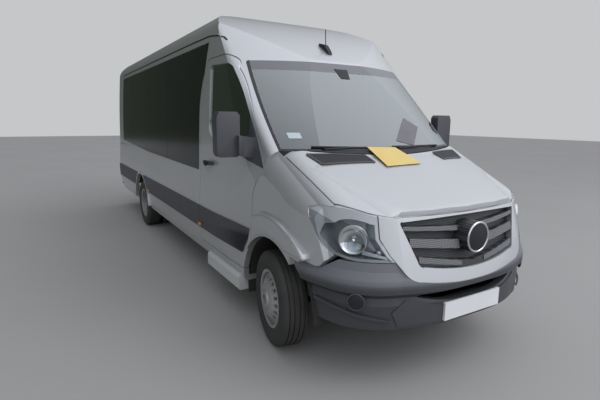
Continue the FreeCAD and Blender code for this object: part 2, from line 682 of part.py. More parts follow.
# Rear axle with its differential and brake discs
axle = rod(V(-560, WHEELBASE, TYRE_R), V(560, WHEELBASE, TYRE_R), 55)
case = turned([(-110, 0), (-110, 60), (-60, 140), (60, 140), (110, 60), (110, 0)])
case.translate(V(0, WHEELBASE, TYRE_R))
axle = axle.fuse(case)
REAR_HUB_X = REAR_OUTER_TRACK / 2 - TWIN_PITCH / 2
REAR_SPINDLE_R = 42.0
for sx in (1, -1):
    axle = axle.fuse(rod(V(sx * 540, WHEELBASE, TYRE_R), V(sx * (REAR_HUB_X + 60), WHEELBASE, TYRE_R), REAR_SPINDLE_R))
    axle = axle.fuse(rod(V(sx * 590, WHEELBASE, TYRE_R), V(sx * 620, WHEELBASE, TYRE_R), 150))
NODES["rear_axle"] = axle

# Leaf springs under the rails
W = WHEELBASE
spring = prism([(W - 660, RAIL[2]), (W - 660, 470), (W, TYRE_R + 55, W + 660, 470), (W + 660, RAIL[2]),
                (W + 600, RAIL[2]), (W + 600, 500), (W, TYRE_R + 94, W - 600, 500), (W - 600, RAIL[2])], "yz", 385, 445)
NODES["leaf_springs"] = pair(spring.cut(axle))

# Propeller shaft, fuel tank and exhaust
shaft = rod(V(0, 520, 486), V(0, WHEELBASE - 90, 380), 36)
NODES["propeller_shaft"] = shaft.cut(axle).cut(NODES["engine"])
NODES["fuel_tank"] = box(470, 860, 2000, 3000, 400, FLOOR_TOP - FLOOR_T)
pipe = rod(V(-300, 150, 450), V(-300, 3560, 450), 30).fuse(rod(V(-300, 1500, 450), V(-300, 2150, 450), 84))
for y in (400, 1300, 3300):
    pipe = pipe.fuse(box(-380, -290, y, y + 20, 440, 560))
NODES["exhaust"] = pipe.cut(frame).cut(NODES["engine"])

# Step under the right front door
entry_step = prism([(-990, 262), (-990, 356), (-978, 385), (-900, 385), (-900, SILL_Z), (-760, SILL_Z),
                    (-760, 258), (-978, 250)], "xz", 513, 1273)
NODES["entry_step"] = entry_step.cut(UP0)

# Dashboard and steering wheel
dash = prism([(BULKHEAD_Y, 960), (330, 1000), (420, 1090), (430, 1270), (300, 1372), (BULKHEAD_Y, 1400)], "yz",
             -860, 860)
dash = dash.common(inside)
dash = dash.cut(door_side).cut(mirror(door_side))
for name in ("floor_pan", "windscreen", "side_wall_right", "side_wall_left", "wings", "cowl"):
    dash = dash.cut(NODES[name])
NODES["dashboard"] = dash
WHEEL_X, WHEEL_Y, WHEEL_Z, WHEEL_TILT = 450.0, 560.0, 1225.0, 28.0
aim = V(0, math.cos(math.radians(WHEEL_TILT)), math.sin(math.radians(WHEEL_TILT)))
centre = V(WHEEL_X, WHEEL_Y, WHEEL_Z)
rim = Part.makeTorus(192, 15, centre, aim)
spokes = rod(centre + V(-190, 0, 0), centre + V(190, 0, 0), 14).fuse(rod(centre - aim * 30, centre + aim * 12, 55))
column = rod(centre - aim * 20, centre - aim * 330, 26)
NODES["steering_wheel"] = rim.fuse(spokes).fuse(column).cut(dash)


def seat(x, y, wide):
    shape = prism([(a + y, b + FLOOR_TOP) for a, b in SEAT], "yz", x - wide / 2, x + wide / 2)
    legs = box(x - wide / 2 + 40, x + wide / 2 - 40, y + 70, y + 480, FLOOR_TOP, FLOOR_TOP + 332)
    for flip in (1, -1):
        x0, x1 = sorted((flip * 493, flip * 1000))
        legs = legs.cut(arch(WHEELBASE, REAR_ARCH_R + 26, x0, x1))
    return shape.fuse(legs)


NODES["front_seats"] = Part.makeCompound([seat(x, y, w) for x, y, w in CAB_SEATS])
rows = []
for k in range(ROW_COUNT):
    rows += [seat(x, ROW_FIRST + k * ROW_PITCH, w) for x, w in ROW_SEATS]
NODES["passenger_seats"] = Part.makeCompound(rows)

# Wipers resting low on the windscreen, and the aerial on the forehead


def screen_point(x, z, out):
    """Point on the windscreen, moved forwards by out."""
    c = arc_centre(RAKE_PLAN[0], RAKE_PLAN[1][:2], RAKE_PLAN[1][2:])
    r = math.hypot(RAKE_PLAN[0][0] - c[0], RAKE_PLAN[0][1] - c[1])
    y = c[1] - math.sqrt(r * r - (abs(x) - c[0]) ** 2)
    return V(x, y + (z - RAKE_Z) * RAKE_BACK / RAKE_UP - out, z)


wipers = []
for x_pivot, x0, z0, x1, z1 in WIPERS:
    chain = [screen_point(x0 + (x1 - x0) * k / 6.0, z0 + (z1 - z0) * k / 6.0, 9) for k in range(7)]
    wiper = rod(chain[0], chain[1], 8)
    for k in range(1, 6):
        wiper = wiper.fuse(rod(chain[k], chain[k + 1], 8)).fuse(Part.makeSphere(8, chain[k]))
    foot = screen_point(x_pivot, COWL_Z + 8, 20)
    middle = chain[3] + V(0, -8, 0)
    wiper = wiper.fuse(rod(foot, middle, 8)).fuse(Part.makeSphere(8, middle))
    wiper = wiper.fuse(Part.makeCylinder(12, 70, foot - V(0, 0, 60)))
    wipers.append(wiper.cut(LOW0.common(box(-FAR, FAR, -400, 400, 0, COWL_Z))).cut(NODES["windscreen"]))
NODES["wipers"] = Part.makeCompound(wipers)
mast = rod(V(0, *AERIAL_MAST[0]), V(0, *AERIAL_MAST[1]), 4)
NODES["aerial"] = prism(AERIAL_FOOT, "yz", -20, 20).fuse(mast).cut(UP0)


# Wheels, modelled with the hub on the X axis and the outside towards +X
TYRE = [(-78, RIM_R), (78, RIM_R), (81, RIM_EDGE_R), (96, 240), (TYRE_W / 2, 280), (92, 332), (64, TYRE_R),
        (-64, TYRE_R), (-92, 332), (-TYRE_W / 2, 280), (-96, 240), (-81, RIM_EDGE_R)]
BARREL = [(-88, RIM_EDGE_R), (-81, RIM_EDGE_R), (-78, RIM_R), (78, RIM_R), (81, RIM_EDGE_R), (88, RIM_EDGE_R),
          (88, 207), (84, 192), (-84, 192), (-88, 207)]
FRONT_DISC = [(46, 193), (64, 193), (96, 140), (112, 112), (112, 74), (126, 62), (126, 0), (-30, 0), (-30, 60),
              (98, 70), (100, 104), (84, 132)]
REAR_DISC = [(-70, 193), (-52, 193), (-84, 150), (-107, 122), (-107, 84), (-60, 76), (-50, 60), (-50, 0),
             (-TWIN_PITCH / 2, 0), (-TWIN_PITCH / 2, 128), (-100, 156)]


def faceted(profile, count):
    """Outline of (x, r) carried round the X axis in flat facets, a corner at the bottom."""
    rings = []
    for k in range(count):
        a = 2 * math.pi * k / count
        rings.append([V(x, r * math.sin(a), -r * math.cos(a)) for x, r in profile])
    faces = []
    for k in range(count):
        for i in range(len(profile)):
            p, q = rings[k - 1][i - 1], rings[k - 1][i]
            faces.append(Part.Face(Part.makePolygon([p, q, rings[k][i], rings[k][i - 1], p])))
    return Part.makeSolid(Part.makeShell(faces))


# The bore's flats stand clear of the round rim
flat = 1 / math.cos(math.pi / TYRE_FACETS)
tyre = faceted([(x, (r + TYRE_PLAY) * flat if r < 220 else r) for x, r in TYRE], TYRE_FACETS)
if tyre.Volume < 0:
    tyre.reverse()
front_rim = turned(BARREL).fuse(turned(FRONT_DISC))
bore = rod(V(-40, 0, 0), V(100, 0, 0), SPINDLE_R + RUN_FIT)
front_rim = front_rim.cut(bore)
for k in range(RIM_HOLES):
    a = 2 * math.pi * k / RIM_HOLES
    front_rim = front_rim.cut(rod(V(30, 152 * math.cos(a), 152 * math.sin(a)),
                                  V(130, 152 * math.cos(a), 152 * math.sin(a)), RIM_HOLE_R))
HALF_PITCH = TWIN_PITCH / 2
outer = turned(BARREL).fuse(turned(REAR_DISC))
outer.translate(V(HALF_PITCH, 0, 0))
inner = turned(BARREL).fuse(turned(REAR_DISC)).mirror(V(0, 0, 0), V(1, 0, 0))
inner.translate(V(-HALF_PITCH, 0, 0))
twin_rims = outer.fuse(inner).cut(rod(V(-200, 0, 0), V(63, 0, 0), REAR_SPINDLE_R + RUN_FIT))
for k in range(RIM_HOLES):
    a = 2 * math.pi * k / RIM_HOLES
    twin_rims = twin_rims.cut(rod(V(-100, 160 * math.cos(a), 160 * math.sin(a)),
                                  V(100, 160 * math.cos(a), 160 * math.sin(a)), RIM_HOLE_R))
tyre_out, tyre_in = tyre.copy(), tyre.copy()
tyre_out.translate(V(HALF_PITCH, 0, 0))
tyre_in.translate(V(-HALF_PITCH, 0, 0))
twin_tyres = Part.makeCompound([tyre_out, tyre_in])

# Knuckle on the left: kingpin boss with the strut, stub axle and brake disc
knuckle = Part.makeCylinder(46, 174, V(KINGPIN_X, 0, 298)).fuse(Part.makeCylinder(30, 320, V(KINGPIN_X, 0, 470)))
knuckle = knuckle.fuse(rod(V(KINGPIN_X, 0, TYRE_R), V(FRONT_TRACK / 2 + 98, 0, TYRE_R), SPINDLE_R))
knuckle = knuckle.fuse(rod(V(FRONT_TRACK / 2 - 64, 0, TYRE_R), V(FRONT_TRACK / 2 - 38, 0, TYRE_R), 150))
knuckle = knuckle.cut(Part.makeCylinder(KINGPIN_R + RUN_FIT, 60, V(KINGPIN_X, 0, 290)))


def steered(shape, side_x):
    """The shape turned about its kingpin to the parked steering angle."""
    out = shape.copy()
    out.rotate(V(side_x * KINGPIN_X, 0, 0), V(0, 0, 1), REST_STEER)
    return out


def placed(shape, x, y):
    out = shape.copy() if x > 0 else mirror(shape)
    out.translate(V(x, y, TYRE_R))
    return out


for name, sx in (("left", 1), ("right", -1)):
    NODES["knuckle_" + name] = steered(knuckle if sx > 0 else mirror(knuckle), sx)
    NODES["tyre_front_" + name] = steered(placed(tyre, sx * FRONT_TRACK / 2, 0), sx)
    NODES["rim_front_" + name] = steered(placed(front_rim, sx * FRONT_TRACK / 2, 0), sx)
    NODES["tyres_rear_" + name] = placed(twin_tyres, sx * REAR_HUB_X, WHEELBASE)
    NODES["rims_rear_" + name] = placed(twin_rims, sx * REAR_HUB_X, WHEELBASE)

os.makedirs("parts", exist_ok=True)
for name, shape in NODES.items():
    moved = shape.copy()
    moved.translate(V(0, SHIFT_Y, 0))
    moved.exportStep("parts/" + name + ".step")
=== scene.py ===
# %% [markdown]
# # A high-roof minibus, dressed around its CAD model
# The CAD parts come in first and never move. Everything made here sits on them, in metres,
# with +X to the vehicle's left, -Y forwards and +Z up.

# %% Load the frame
import bpy
import math
from mathutils import Vector, Matrix


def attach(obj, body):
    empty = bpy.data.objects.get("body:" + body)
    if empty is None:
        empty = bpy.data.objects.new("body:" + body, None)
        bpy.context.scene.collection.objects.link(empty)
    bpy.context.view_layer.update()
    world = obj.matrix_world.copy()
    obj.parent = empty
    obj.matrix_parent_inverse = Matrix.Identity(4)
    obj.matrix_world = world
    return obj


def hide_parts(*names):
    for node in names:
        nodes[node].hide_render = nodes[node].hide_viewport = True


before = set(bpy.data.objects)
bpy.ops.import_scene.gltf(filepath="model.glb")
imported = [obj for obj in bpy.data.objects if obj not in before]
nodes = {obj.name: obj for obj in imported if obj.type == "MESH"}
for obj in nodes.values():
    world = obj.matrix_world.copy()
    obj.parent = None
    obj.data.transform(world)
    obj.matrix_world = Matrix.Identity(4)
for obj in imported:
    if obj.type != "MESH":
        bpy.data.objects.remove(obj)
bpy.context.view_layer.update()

# %% Sizes shared with the CAD model
LENGTH = 7.337
FRONT_OVERHANG = 0.996
FRONT_AXLE_Y = FRONT_OVERHANG - LENGTH / 2
WHEELBASE = 4.325
AXLE_Z = 0.350
KINGPIN_X = 0.700
FRONT_TRACK = 1.732
REAR_HUB_X = 0.753
TWIN_HALF = 0.119
REST_STEER = math.radians(-9.0)
SIDES = (("right", -1), ("left", 1))
# Axes and pressing directions, by what they mean on the vehicle
ACROSS, ALONG, UP = 0, 1, 2
LEFTWARDS, BACKWARDS, DOWNWARDS = (ACROSS, 1), (ALONG, 1), (UP, -1)


def mm(x, y, z):
    """Point from millimetres, with y measured backwards from the front axle."""
    return Vector((x / 1000, y / 1000 + FRONT_AXLE_Y, z / 1000))


print("front axle at y =", round(FRONT_AXLE_Y, 4))

# %% [markdown]
# ## Working steps that every piece shares
# A real panel or trim starts as a flat blank, is cut to its outline and is then pressed or folded.
# The helpers do the same: a chain of edges is drawn from one vertex, filled, pushed out and, where
# it has to follow the body, pressed onto the CAD surface. The alternative, typing in finished
# meshes, would hide how each shape comes about.

# %% Selecting and opening a piece


def active(piece):
    """Selects one piece alone."""
    bpy.ops.object.select_all(action="DESELECT")
    piece.select_set(True)
    bpy.context.view_layer.objects.active = piece


def start(name, kind, **where):
    """New primitive at its size and place."""
    bpy.ops.object.select_all(action="DESELECT")
    getattr(bpy.ops.mesh, "primitive_%s_add" % kind)(**where)
    piece = bpy.context.object
    piece.name = name
    return piece


def open_edit(piece, action="SELECT", kind="VERT"):
    """Opens a piece for editing with all of it, or none of it, selected."""
    active(piece)
    bpy.ops.object.mode_set(mode="EDIT")
    bpy.ops.mesh.select_mode(type=kind)
    bpy.ops.mesh.select_all(action=action)


def close_edit():
    bpy.ops.object.mode_set(mode="OBJECT")


def pick(piece, test, kind="VERT"):
    """Selects the vertices or faces that pass a test, and leaves the piece open for editing."""
    open_edit(piece, "DESELECT", kind)
    close_edit()
    for item in piece.data.polygons if kind == "FACE" else piece.data.vertices:
        item.select = test(item)
    bpy.ops.object.mode_set(mode="EDIT")


print("selecting and opening ready")

# %% Placing, joining and copying


def set_down(piece):
    """Place, turn and scale go into the mesh."""
    active(piece)
    bpy.ops.object.transform_apply(location=True, rotation=True, scale=True)


def face_out(piece):
    """All faces point outwards."""
    open_edit(piece)
    bpy.ops.mesh.normals_make_consistent(inside=False)
    close_edit()
    return piece


def join(whole, part):
    """One piece joined into another, or the start of one."""
    if whole is None:
        return part
    active(whole)
    part.select_set(True)
    bpy.ops.object.join()
    return whole


def twin(piece, name):
    """Copy with a mesh of its own."""
    other = piece.copy()
    other.data = piece.data.copy()
    other.name = name
    bpy.context.scene.collection.objects.link(other)
    return other


print("placing, joining and copying ready")

# %% Drawing a flat piece and making it solid


def trace(name, points, fill=True):
    """Chain of edges from one vertex, extruded from point to point and filled."""
    piece = start(name, "plane", size=0.01, location=points[0])
    open_edit(piece)
    bpy.ops.mesh.merge(type="CENTER")
    for a, b in zip(points, points[1:]):
        bpy.ops.mesh.extrude_region_move(TRANSFORM_OT_translate={"value": b - a})
    bpy.ops.mesh.select_all(action="SELECT")
    if fill:
        bpy.ops.mesh.edge_face_add()
    close_edit()
    return piece


def push(piece, by):
    """The whole flat piece extruded into a solid."""
    open_edit(piece)
    bpy.ops.mesh.extrude_region_move(TRANSFORM_OT_translate={"value": by})
    close_edit()
    return face_out(piece)


print("drawing ready")

# %% Cutting and rounding


def slices(piece, axis, step=0.05):
    """Even cuts across one axis, so that a flat piece can bend."""
    active(piece)
    places = [(piece.matrix_world @ v.co)[axis] for v in piece.data.vertices]
    low, high = min(places), max(places)
    count = max(1, int((high - low) / step))
    normal = Vector([float(k == axis) for k in range(3)])
    open_edit(piece)
    for k in range(1, count):
        bpy.ops.mesh.select_all(action="SELECT")
        bpy.ops.mesh.bisect(plane_co=normal * (low + (high - low) * k / count), plane_no=normal)
    close_edit()


def modify(piece, kind, **values):
    """A modifier set and applied."""
    active(piece)
    m = piece.modifiers.new(kind.lower(), kind)
    for key, value in values.items():
        setattr(m, key, value)
    bpy.ops.object.modifier_apply(modifier=m.name)
    return piece


def ease(piece, width, segments, above=30):
    """Edges sharper than an angle in degrees are rounded."""
    return modify(piece, "BEVEL", width=width, segments=segments, angle_limit=math.radians(above))


print("cutting and rounding ready")

# %% Pressing onto the CAD surface
SAME_PLACE = 1e-6


def surface(names):
    """One target from one CAD node, or from copies of several joined, and whether it is a copy."""
    if isinstance(names, str):
        return nodes[names], False
    whole = None
    for name in names:
        whole = join(whole, twin(nodes[name], "press_target"))
    return whole, True


def press(piece, names, toward, lift, thick):
    """A flat piece pressed in a direction onto CAD surfaces, trimmed where it met none, and thickened."""
    axis, sign = toward
    target, spare = surface(names)
    set_down(piece)
    before = [v.co[axis] for v in piece.data.vertices]
    values = {"target": target, "wrap_method": "PROJECT", "offset": lift, "wrap_mode": "ABOVE_SURFACE",
              "use_project_x": axis == ACROSS, "use_project_y": axis == ALONG, "use_project_z": axis == UP,
              "use_negative_direction": sign < 0, "use_positive_direction": sign > 0}
    modify(piece, "SHRINKWRAP", **values)
    if spare:
        bpy.data.objects.remove(target)
    missed = [abs(v.co[axis] - old) < SAME_PLACE for v, old in zip(piece.data.vertices, before)]
    if any(missed):
        pick(piece, lambda v: missed[v.index])
        bpy.ops.mesh.delete(type="VERT")
        close_edit()
        print("trimmed", piece.name, sum(missed), "of", len(missed))
    if thick:
        modify(piece, "SOLIDIFY", thickness=thick, offset=0.0)
    return piece


print("pressing ready")

# %% Finishing a piece


def settle(piece, body, material, smooth=40):
    """The finished piece gets its place, finish and body."""
    set_down(piece)
    face_out(piece)
    piece.data.materials.clear()
    piece.data.materials.append(material)
    bpy.ops.object.shade_smooth_by_angle(angle=math.radians(smooth))
    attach(piece, body)
    return piece


def opposite(piece, name):
    """Mirror image across the middle of the vehicle."""
    other = twin(piece, name)
    set_down(other)
    other.scale.x = -1
    set_down(other)
    return face_out(other)


def settle_pair(piece, material, bodies=("body", "body"), smooth=40):
    """A piece of the right side and its mirror image on the left, both finished."""
    other = opposite(piece, piece.name.replace("right", "left"))
    settle(piece, bodies[0], material, smooth)
    settle(other, bodies[1], material, smooth)
    return piece, other


print("finishing ready")

# %% [markdown]
# ## Finishes
# Each finish is mixed from noise in the piece's own coordinates, so nothing is one flat colour: paint
# lies under a clear coat, plastic has grain, rubber is dusty in patches. A node group holds the
# mottling that all of them share. Image textures would look the same in every copy.

# %% Nodes set and linked in one call


def feed(nt, there, inputs):
    """Inputs of a node are set to values, or linked where the value is a socket."""
    for key, value in inputs.items():
        if isinstance(value, bpy.types.NodeSocket):
            nt.links.new(value, there.inputs[key])
        else:
            there.inputs[key].default_value = value
    return there


def node(nt, kind, inputs, **settings):
    """New node with its settings and inputs."""
    there = nt.nodes.new(kind)
    for key, value in settings.items():
        setattr(there, key, value)
    return feed(nt, there, inputs)


def maths(nt, kind, a, b=0.0):
    """Result of a Math node on numbers or sockets."""
    return node(nt, "ShaderNodeMath", {0: a, 1: b}, operation=kind).outputs[0]


def ramp(nt, value, low, high):
    """0 below low, 1 above high, smooth between."""
    return node(nt, "ShaderNodeMapRange", {"From Min": low, "From Max": high, "Value": value},
                interpolation_type="SMOOTHSTEP").outputs["Result"]


def blend(nt, a, b, mask):
    """Mix of two colours or colour sockets."""
    return node(nt, "ShaderNodeMix", {"A": a, "B": b, "Factor": mask}, data_type="RGBA").outputs["Result"]


def blend_shaders(nt, a, b, mask):
    """Mix of two shader sockets."""
    return node(nt, "ShaderNodeMixShader", {"Fac": mask, 1: a, 2: b}).outputs["Shader"]


def place_in(nt):
    """Object coordinates as X, Y and Z sockets."""
    where = node(nt, "ShaderNodeTexCoord", {}).outputs["Object"]
    return node(nt, "ShaderNodeSeparateXYZ", {"Vector": where}).outputs


print("node helpers ready")

# %% Groups that several finishes share
BAR_LOW, BAR_HIGH = 0.35, 0.85


def new_group(name, inputs, outputs):
    """Node group with float sockets, as the sockets given to it and the ones it puts out."""
    group = bpy.data.node_groups.new(name, "ShaderNodeTree")
    for in_out, labels in (("INPUT", inputs), ("OUTPUT", outputs)):
        for label in labels:
            group.interface.new_socket(name=label, in_out=in_out, socket_type="NodeSocketFloat")
    return group, group.nodes.new("NodeGroupInput").outputs, group.nodes.new("NodeGroupOutput")


def make_mottle():
    """Group: two scales in, a slow mask and a fine grain out."""
    group, given, result = new_group("mottle", ("Slow scale", "Grain scale"), ("Slow", "Grain"))
    where = node(group, "ShaderNodeTexCoord", {}).outputs["Object"]
    for scale, socket in (("Slow scale", "Slow"), ("Grain scale", "Grain")):
        noise = node(group, "ShaderNodeTexNoise", {"Detail": 3.0, "Vector": where, "Scale": given[scale]})
        feed(group, result, {socket: noise.outputs["Fac"]})
    return group


def make_lattice():
    """Group: turn per metre in, a mask of bars crossed over X and Z out."""
    group, given, result = new_group("lattice", ("Turn",), ("Bars",))
    place = place_in(group)
    wave_x, wave_z = [maths(group, "SINE", maths(group, "MULTIPLY", place[axis], given["Turn"]))
                      for axis in ("X", "Z")]
    waves = maths(group, "MAXIMUM", wave_x, wave_z)
    feed(group, result, {"Bars": ramp(group, waves, BAR_LOW, BAR_HIGH)})
    return group


MOTTLE = make_mottle()
LATTICE = make_lattice()


def mottled(nt, slow, grain):
    """Sockets of the shared mottling at two scales."""
    return node(nt, "ShaderNodeGroup", {"Slow scale": slow, "Grain scale": grain}, node_tree=MOTTLE).outputs


print("groups", MOTTLE.name, LATTICE.name)

# %% Solid finishes
ROUGH_SPREAD = 0.12
GRAIN_DEEP = 0.0006
COAT_ROUGH = 0.06


def finish(name, dark, light, rough, metal=0.0, slow=2.0, grain=300.0, bump=0.1, coat=0.0, specular=0.5):
    """Principled finish whose colour, roughness and surface vary with the shared mottling."""
    m = bpy.data.materials.new(name)
    m.use_nodes = True
    nt = m.node_tree
    mottle = mottled(nt, slow, grain)
    spread = node(nt, "ShaderNodeMapRange", {"To Min": rough * (1 - ROUGH_SPREAD), "Value": mottle["Grain"],
                                             "To Max": min(1.0, rough * (1 + ROUGH_SPREAD))})
    lumps = node(nt, "ShaderNodeBump", {"Strength": bump, "Distance": GRAIN_DEEP, "Height": mottle["Grain"]})
    feed(nt, nt.nodes["Principled BSDF"], {
        "Base Color": blend(nt, (*dark, 1), (*light, 1), mottle["Slow"]),
        "Roughness": spread.outputs["Result"], "Normal": lumps.outputs["Normal"], "Metallic": metal,
        "Coat Weight": coat, "Coat Roughness": COAT_ROUGH, "Specular IOR Level": specular})
    return m


print("finish ready, roughness spread", ROUGH_SPREAD)

# %% Finishes of body, trim and lamps
PAINT = finish("silver_paint", (0.47, 0.48, 0.49), (0.53, 0.54, 0.56), 0.36, metal=0.6, slow=0.8, grain=900,
               bump=0.04, coat=0.5)
DARK_GLASS = finish("dark_glass", (0.004, 0.0045, 0.005), (0.009, 0.010, 0.011), 0.16, slow=1.2, grain=40,
                    bump=0.0, specular=0.22)
CHROME = finish("lamp_chrome", (0.50, 0.52, 0.54), (0.80, 0.82, 0.84), 0.14, metal=1.0, slow=18, grain=160,
                bump=0.06)
LAMP_GREY = finish("lamp_grey", (0.30, 0.31, 0.32), (0.42, 0.43, 0.44), 0.35, slow=12, bump=0.05, metal=0.3)
PLASTIC = finish("charcoal_plastic", (0.040, 0.042, 0.050), (0.062, 0.065, 0.076), 0.48, slow=3, grain=900,
                 bump=0.35)
BUMPER = finish("bumper_plastic", (0.036, 0.038, 0.044), (0.056, 0.059, 0.068), 0.48, slow=3, grain=900,
                bump=0.35)
GREY_PLASTIC = finish("step_grey", (0.44, 0.445, 0.45), (0.54, 0.545, 0.55), 0.6, slow=3, grain=500, bump=0.4)
TAIL = finish("tail_red", (0.30, 0.010, 0.012), (0.42, 0.02, 0.02), 0.12, slow=14, grain=60, bump=0.3,
              coat=0.6)
AMBER = finish("amber_lens", (0.60, 0.20, 0.02), (0.75, 0.28, 0.03), 0.15, slow=60, grain=200, bump=0.4,
               coat=0.5)
PLATE = finish("plate_white", (0.66, 0.67, 0.68), (0.76, 0.77, 0.78), 0.35, slow=6)
BLACK_TRIM = finish("black_trim", (0.006, 0.006, 0.009), (0.012, 0.012, 0.017), 0.62, slow=4, grain=500)
YELLOW = finish("yellow_sheet", (0.60, 0.44, 0.11), (0.66, 0.52, 0.20), 0.6, slow=14, grain=120, bump=0.2)
PALE = finish("pale_sticker", (0.40, 0.48, 0.52), (0.46, 0.54, 0.57), 0.5, slow=30, grain=200)
BOARD = finish("dark_board", (0.10, 0.10, 0.11), (0.16, 0.16, 0.17), 0.6, slow=8, grain=200, bump=0.2)
print(len(bpy.data.materials), "finishes outside")

# %% Finishes of cabin, underbody and wheels
CABIN = finish("cabin_plastic", (0.035, 0.036, 0.04), (0.06, 0.06, 0.066), 0.65, slow=4, grain=700, bump=0.3)
UNDER = finish("underbody_coat", (0.018, 0.018, 0.018), (0.036, 0.035, 0.034), 0.85, slow=3, grain=120,
               bump=0.6)
BLACK = finish("chassis_black", (0.018, 0.018, 0.018), (0.045, 0.042, 0.04), 0.6, slow=5, grain=160, bump=0.4)
IRON = finish("cast_iron", (0.10, 0.095, 0.09), (0.19, 0.18, 0.17), 0.6, metal=0.7, slow=9, grain=240,
              bump=0.6)
EXHAUST = finish("exhaust_steel", (0.16, 0.13, 0.11), (0.30, 0.28, 0.26), 0.45, metal=0.9, slow=6, grain=260,
                 bump=0.3)
SILVER = finish("wheel_silver", (0.30, 0.305, 0.31), (0.48, 0.485, 0.49), 0.38, metal=0.6, slow=9, grain=260,
                bump=0.15)
FLAP = finish("flap_rubber", (0.018, 0.018, 0.019), (0.04, 0.038, 0.036), 0.8, slow=6, bump=0.4)
SEAL_RUBBER = finish("seal_rubber", (0.010, 0.010, 0.011), (0.022, 0.022, 0.023), 0.7, slow=10, grain=400,
                     bump=0.3)
TYRE_RUBBER = finish("tyre_rubber", (0.022, 0.022, 0.023), (0.050, 0.048, 0.045), 0.72, slow=7, grain=420,
                     bump=0.5)
CLOTH = finish("seat_cloth", (0.030, 0.034, 0.055), (0.060, 0.066, 0.095), 0.9, slow=7, grain=500, bump=0.5,
               specular=0.15)
feed(CLOTH.node_tree, CLOTH.node_tree.nodes["Principled BSDF"], {"Sheen Weight": 0.25})
print(len(bpy.data.materials), "solid finishes")

# %% [markdown]
# ### Glass
# Real window glass is tinted, and it mirrors more at a slant. A transparent and a glossy shader mixed
# by the slant give both without slow refraction. Only the outer face mirrors, or every pane would
# do it twice. The windscreen's black printed edge is a mask in the same finish, since it has no
# thickness of its own.

# %% Glass finishes
SCREEN_FOOT_X = 0.858
SCREEN_FOOT_Z = 1.424
SCREEN_CURVE = 0.136
BAND_WIDE = 0.020
BAND_TALL = 0.012
SHADE_Z = 2.035
SHADE_STRENGTH = 0.75
SHEEN = (0.74, 0.79, 0.79, 1)
DEEPER = 0.85


def print_band(nt, under):
    """Black printed edge at the sides and the foot of the windscreen, and a shaded strip at its top."""
    place = place_in(nt)
    rise = maths(nt, "SUBTRACT", place["Z"], SCREEN_FOOT_Z)
    lean = maths(nt, "MULTIPLY", maths(nt, "MULTIPLY", rise, rise), SCREEN_CURVE)
    edge = maths(nt, "SUBTRACT", SCREEN_FOOT_X - BAND_WIDE, lean)
    side = maths(nt, "GREATER_THAN", maths(nt, "ABSOLUTE", place["X"]), edge)
    foot = maths(nt, "LESS_THAN", place["Z"], SCREEN_FOOT_Z + BAND_TALL)
    top = maths(nt, "MULTIPLY", maths(nt, "GREATER_THAN", place["Z"], SHADE_Z), SHADE_STRENGTH)
    shade = node(nt, "ShaderNodeBsdfPrincipled", {"Base Color": (0.10, 0.095, 0.115, 1), "Roughness": 0.10})
    black = node(nt, "ShaderNodeBsdfPrincipled", {"Base Color": (0.012, 0.012, 0.013, 1), "Roughness": 0.12})
    strip = blend_shaders(nt, under, shade.outputs["BSDF"], top)
    return blend_shaders(nt, strip, black.outputs["BSDF"], maths(nt, "MAXIMUM", side, foot))


def glass(name, colour, mirror, rough, banded=False):
    """Thin glass: tinted see-through with a reflection that grows at a slant on its outer face."""
    m = bpy.data.materials.new(name)
    m.use_nodes = True
    nt = m.node_tree
    nt.nodes.remove(nt.nodes["Principled BSDF"])
    deeper = (*[v * DEEPER for v in colour], 1)
    colours = blend(nt, deeper, (*colour, 1), mottled(nt, slow=1.5, grain=90.0)["Slow"])
    clear = node(nt, "ShaderNodeBsdfTransparent", {"Color": colours})
    shine = node(nt, "ShaderNodeBsdfGlossy", {"Roughness": rough, "Color": SHEEN})
    slant = node(nt, "ShaderNodeLayerWeight", {"Blend": mirror}).outputs["Facing"]
    back = node(nt, "ShaderNodeNewGeometry", {}).outputs["Backfacing"]
    outer = maths(nt, "MULTIPLY", maths(nt, "SUBTRACT", 1.0, back), slant)
    seen = blend_shaders(nt, clear.outputs["BSDF"], shine.outputs["BSDF"], outer)
    feed(nt, nt.nodes["Material Output"], {"Surface": print_band(nt, seen) if banded else seen})
    return m


SCREEN_GLASS = glass("windscreen_glass", (0.36, 0.38, 0.38), mirror=0.46, rough=0.03, banded=True)
CLEAR_GLASS = glass("door_glass", (0.10, 0.11, 0.11), mirror=0.30, rough=0.03)
LENS = glass("lamp_lens", (0.86, 0.88, 0.9), mirror=0.16, rough=0.02)
print("glass", SCREEN_GLASS.name, CLEAR_GLASS.name, LENS.name)

# %% [markdown]
# ### Second colours
# Some mouldings carry a second colour that has no edge in the shape: the bumper's upper shelf is
# painted paler as a painted highlight, where light from above falls on it, the lamp housing has a
# bright bezel round its bowl, and the grille is mesh. Masks that read the place on the piece lay
# these over the finish. Splitting the mouldings would cut pieces that are one in the real vehicle.

# %% Painted shelf highlight, bezel and mesh
# Heights over which the bumper's upper shelf turns paler: a painted highlight where light from above falls on
# it
SHELF_HIGHLIGHT_LOW, SHELF_HIGHLIGHT_HIGH = 0.655, 0.720
BOWL_X, BOWL_Z, BOWL_OUT = 0.80, 0.94, 0.100
BEZEL_SLANT = 0.9
BEZEL_LOW, BEZEL_HIGH = 0.070, 0.078
BEZEL_SOFT = 0.006


def overlay(m, mask, colour):
    """A second colour laid over a finish where a mask says so."""
    nt = m.node_tree
    shader = nt.nodes["Principled BSDF"]
    under = shader.inputs["Base Color"].links[0].from_socket
    feed(nt, shader, {"Base Color": blend(nt, under, (*colour, 1), mask)})
    return m


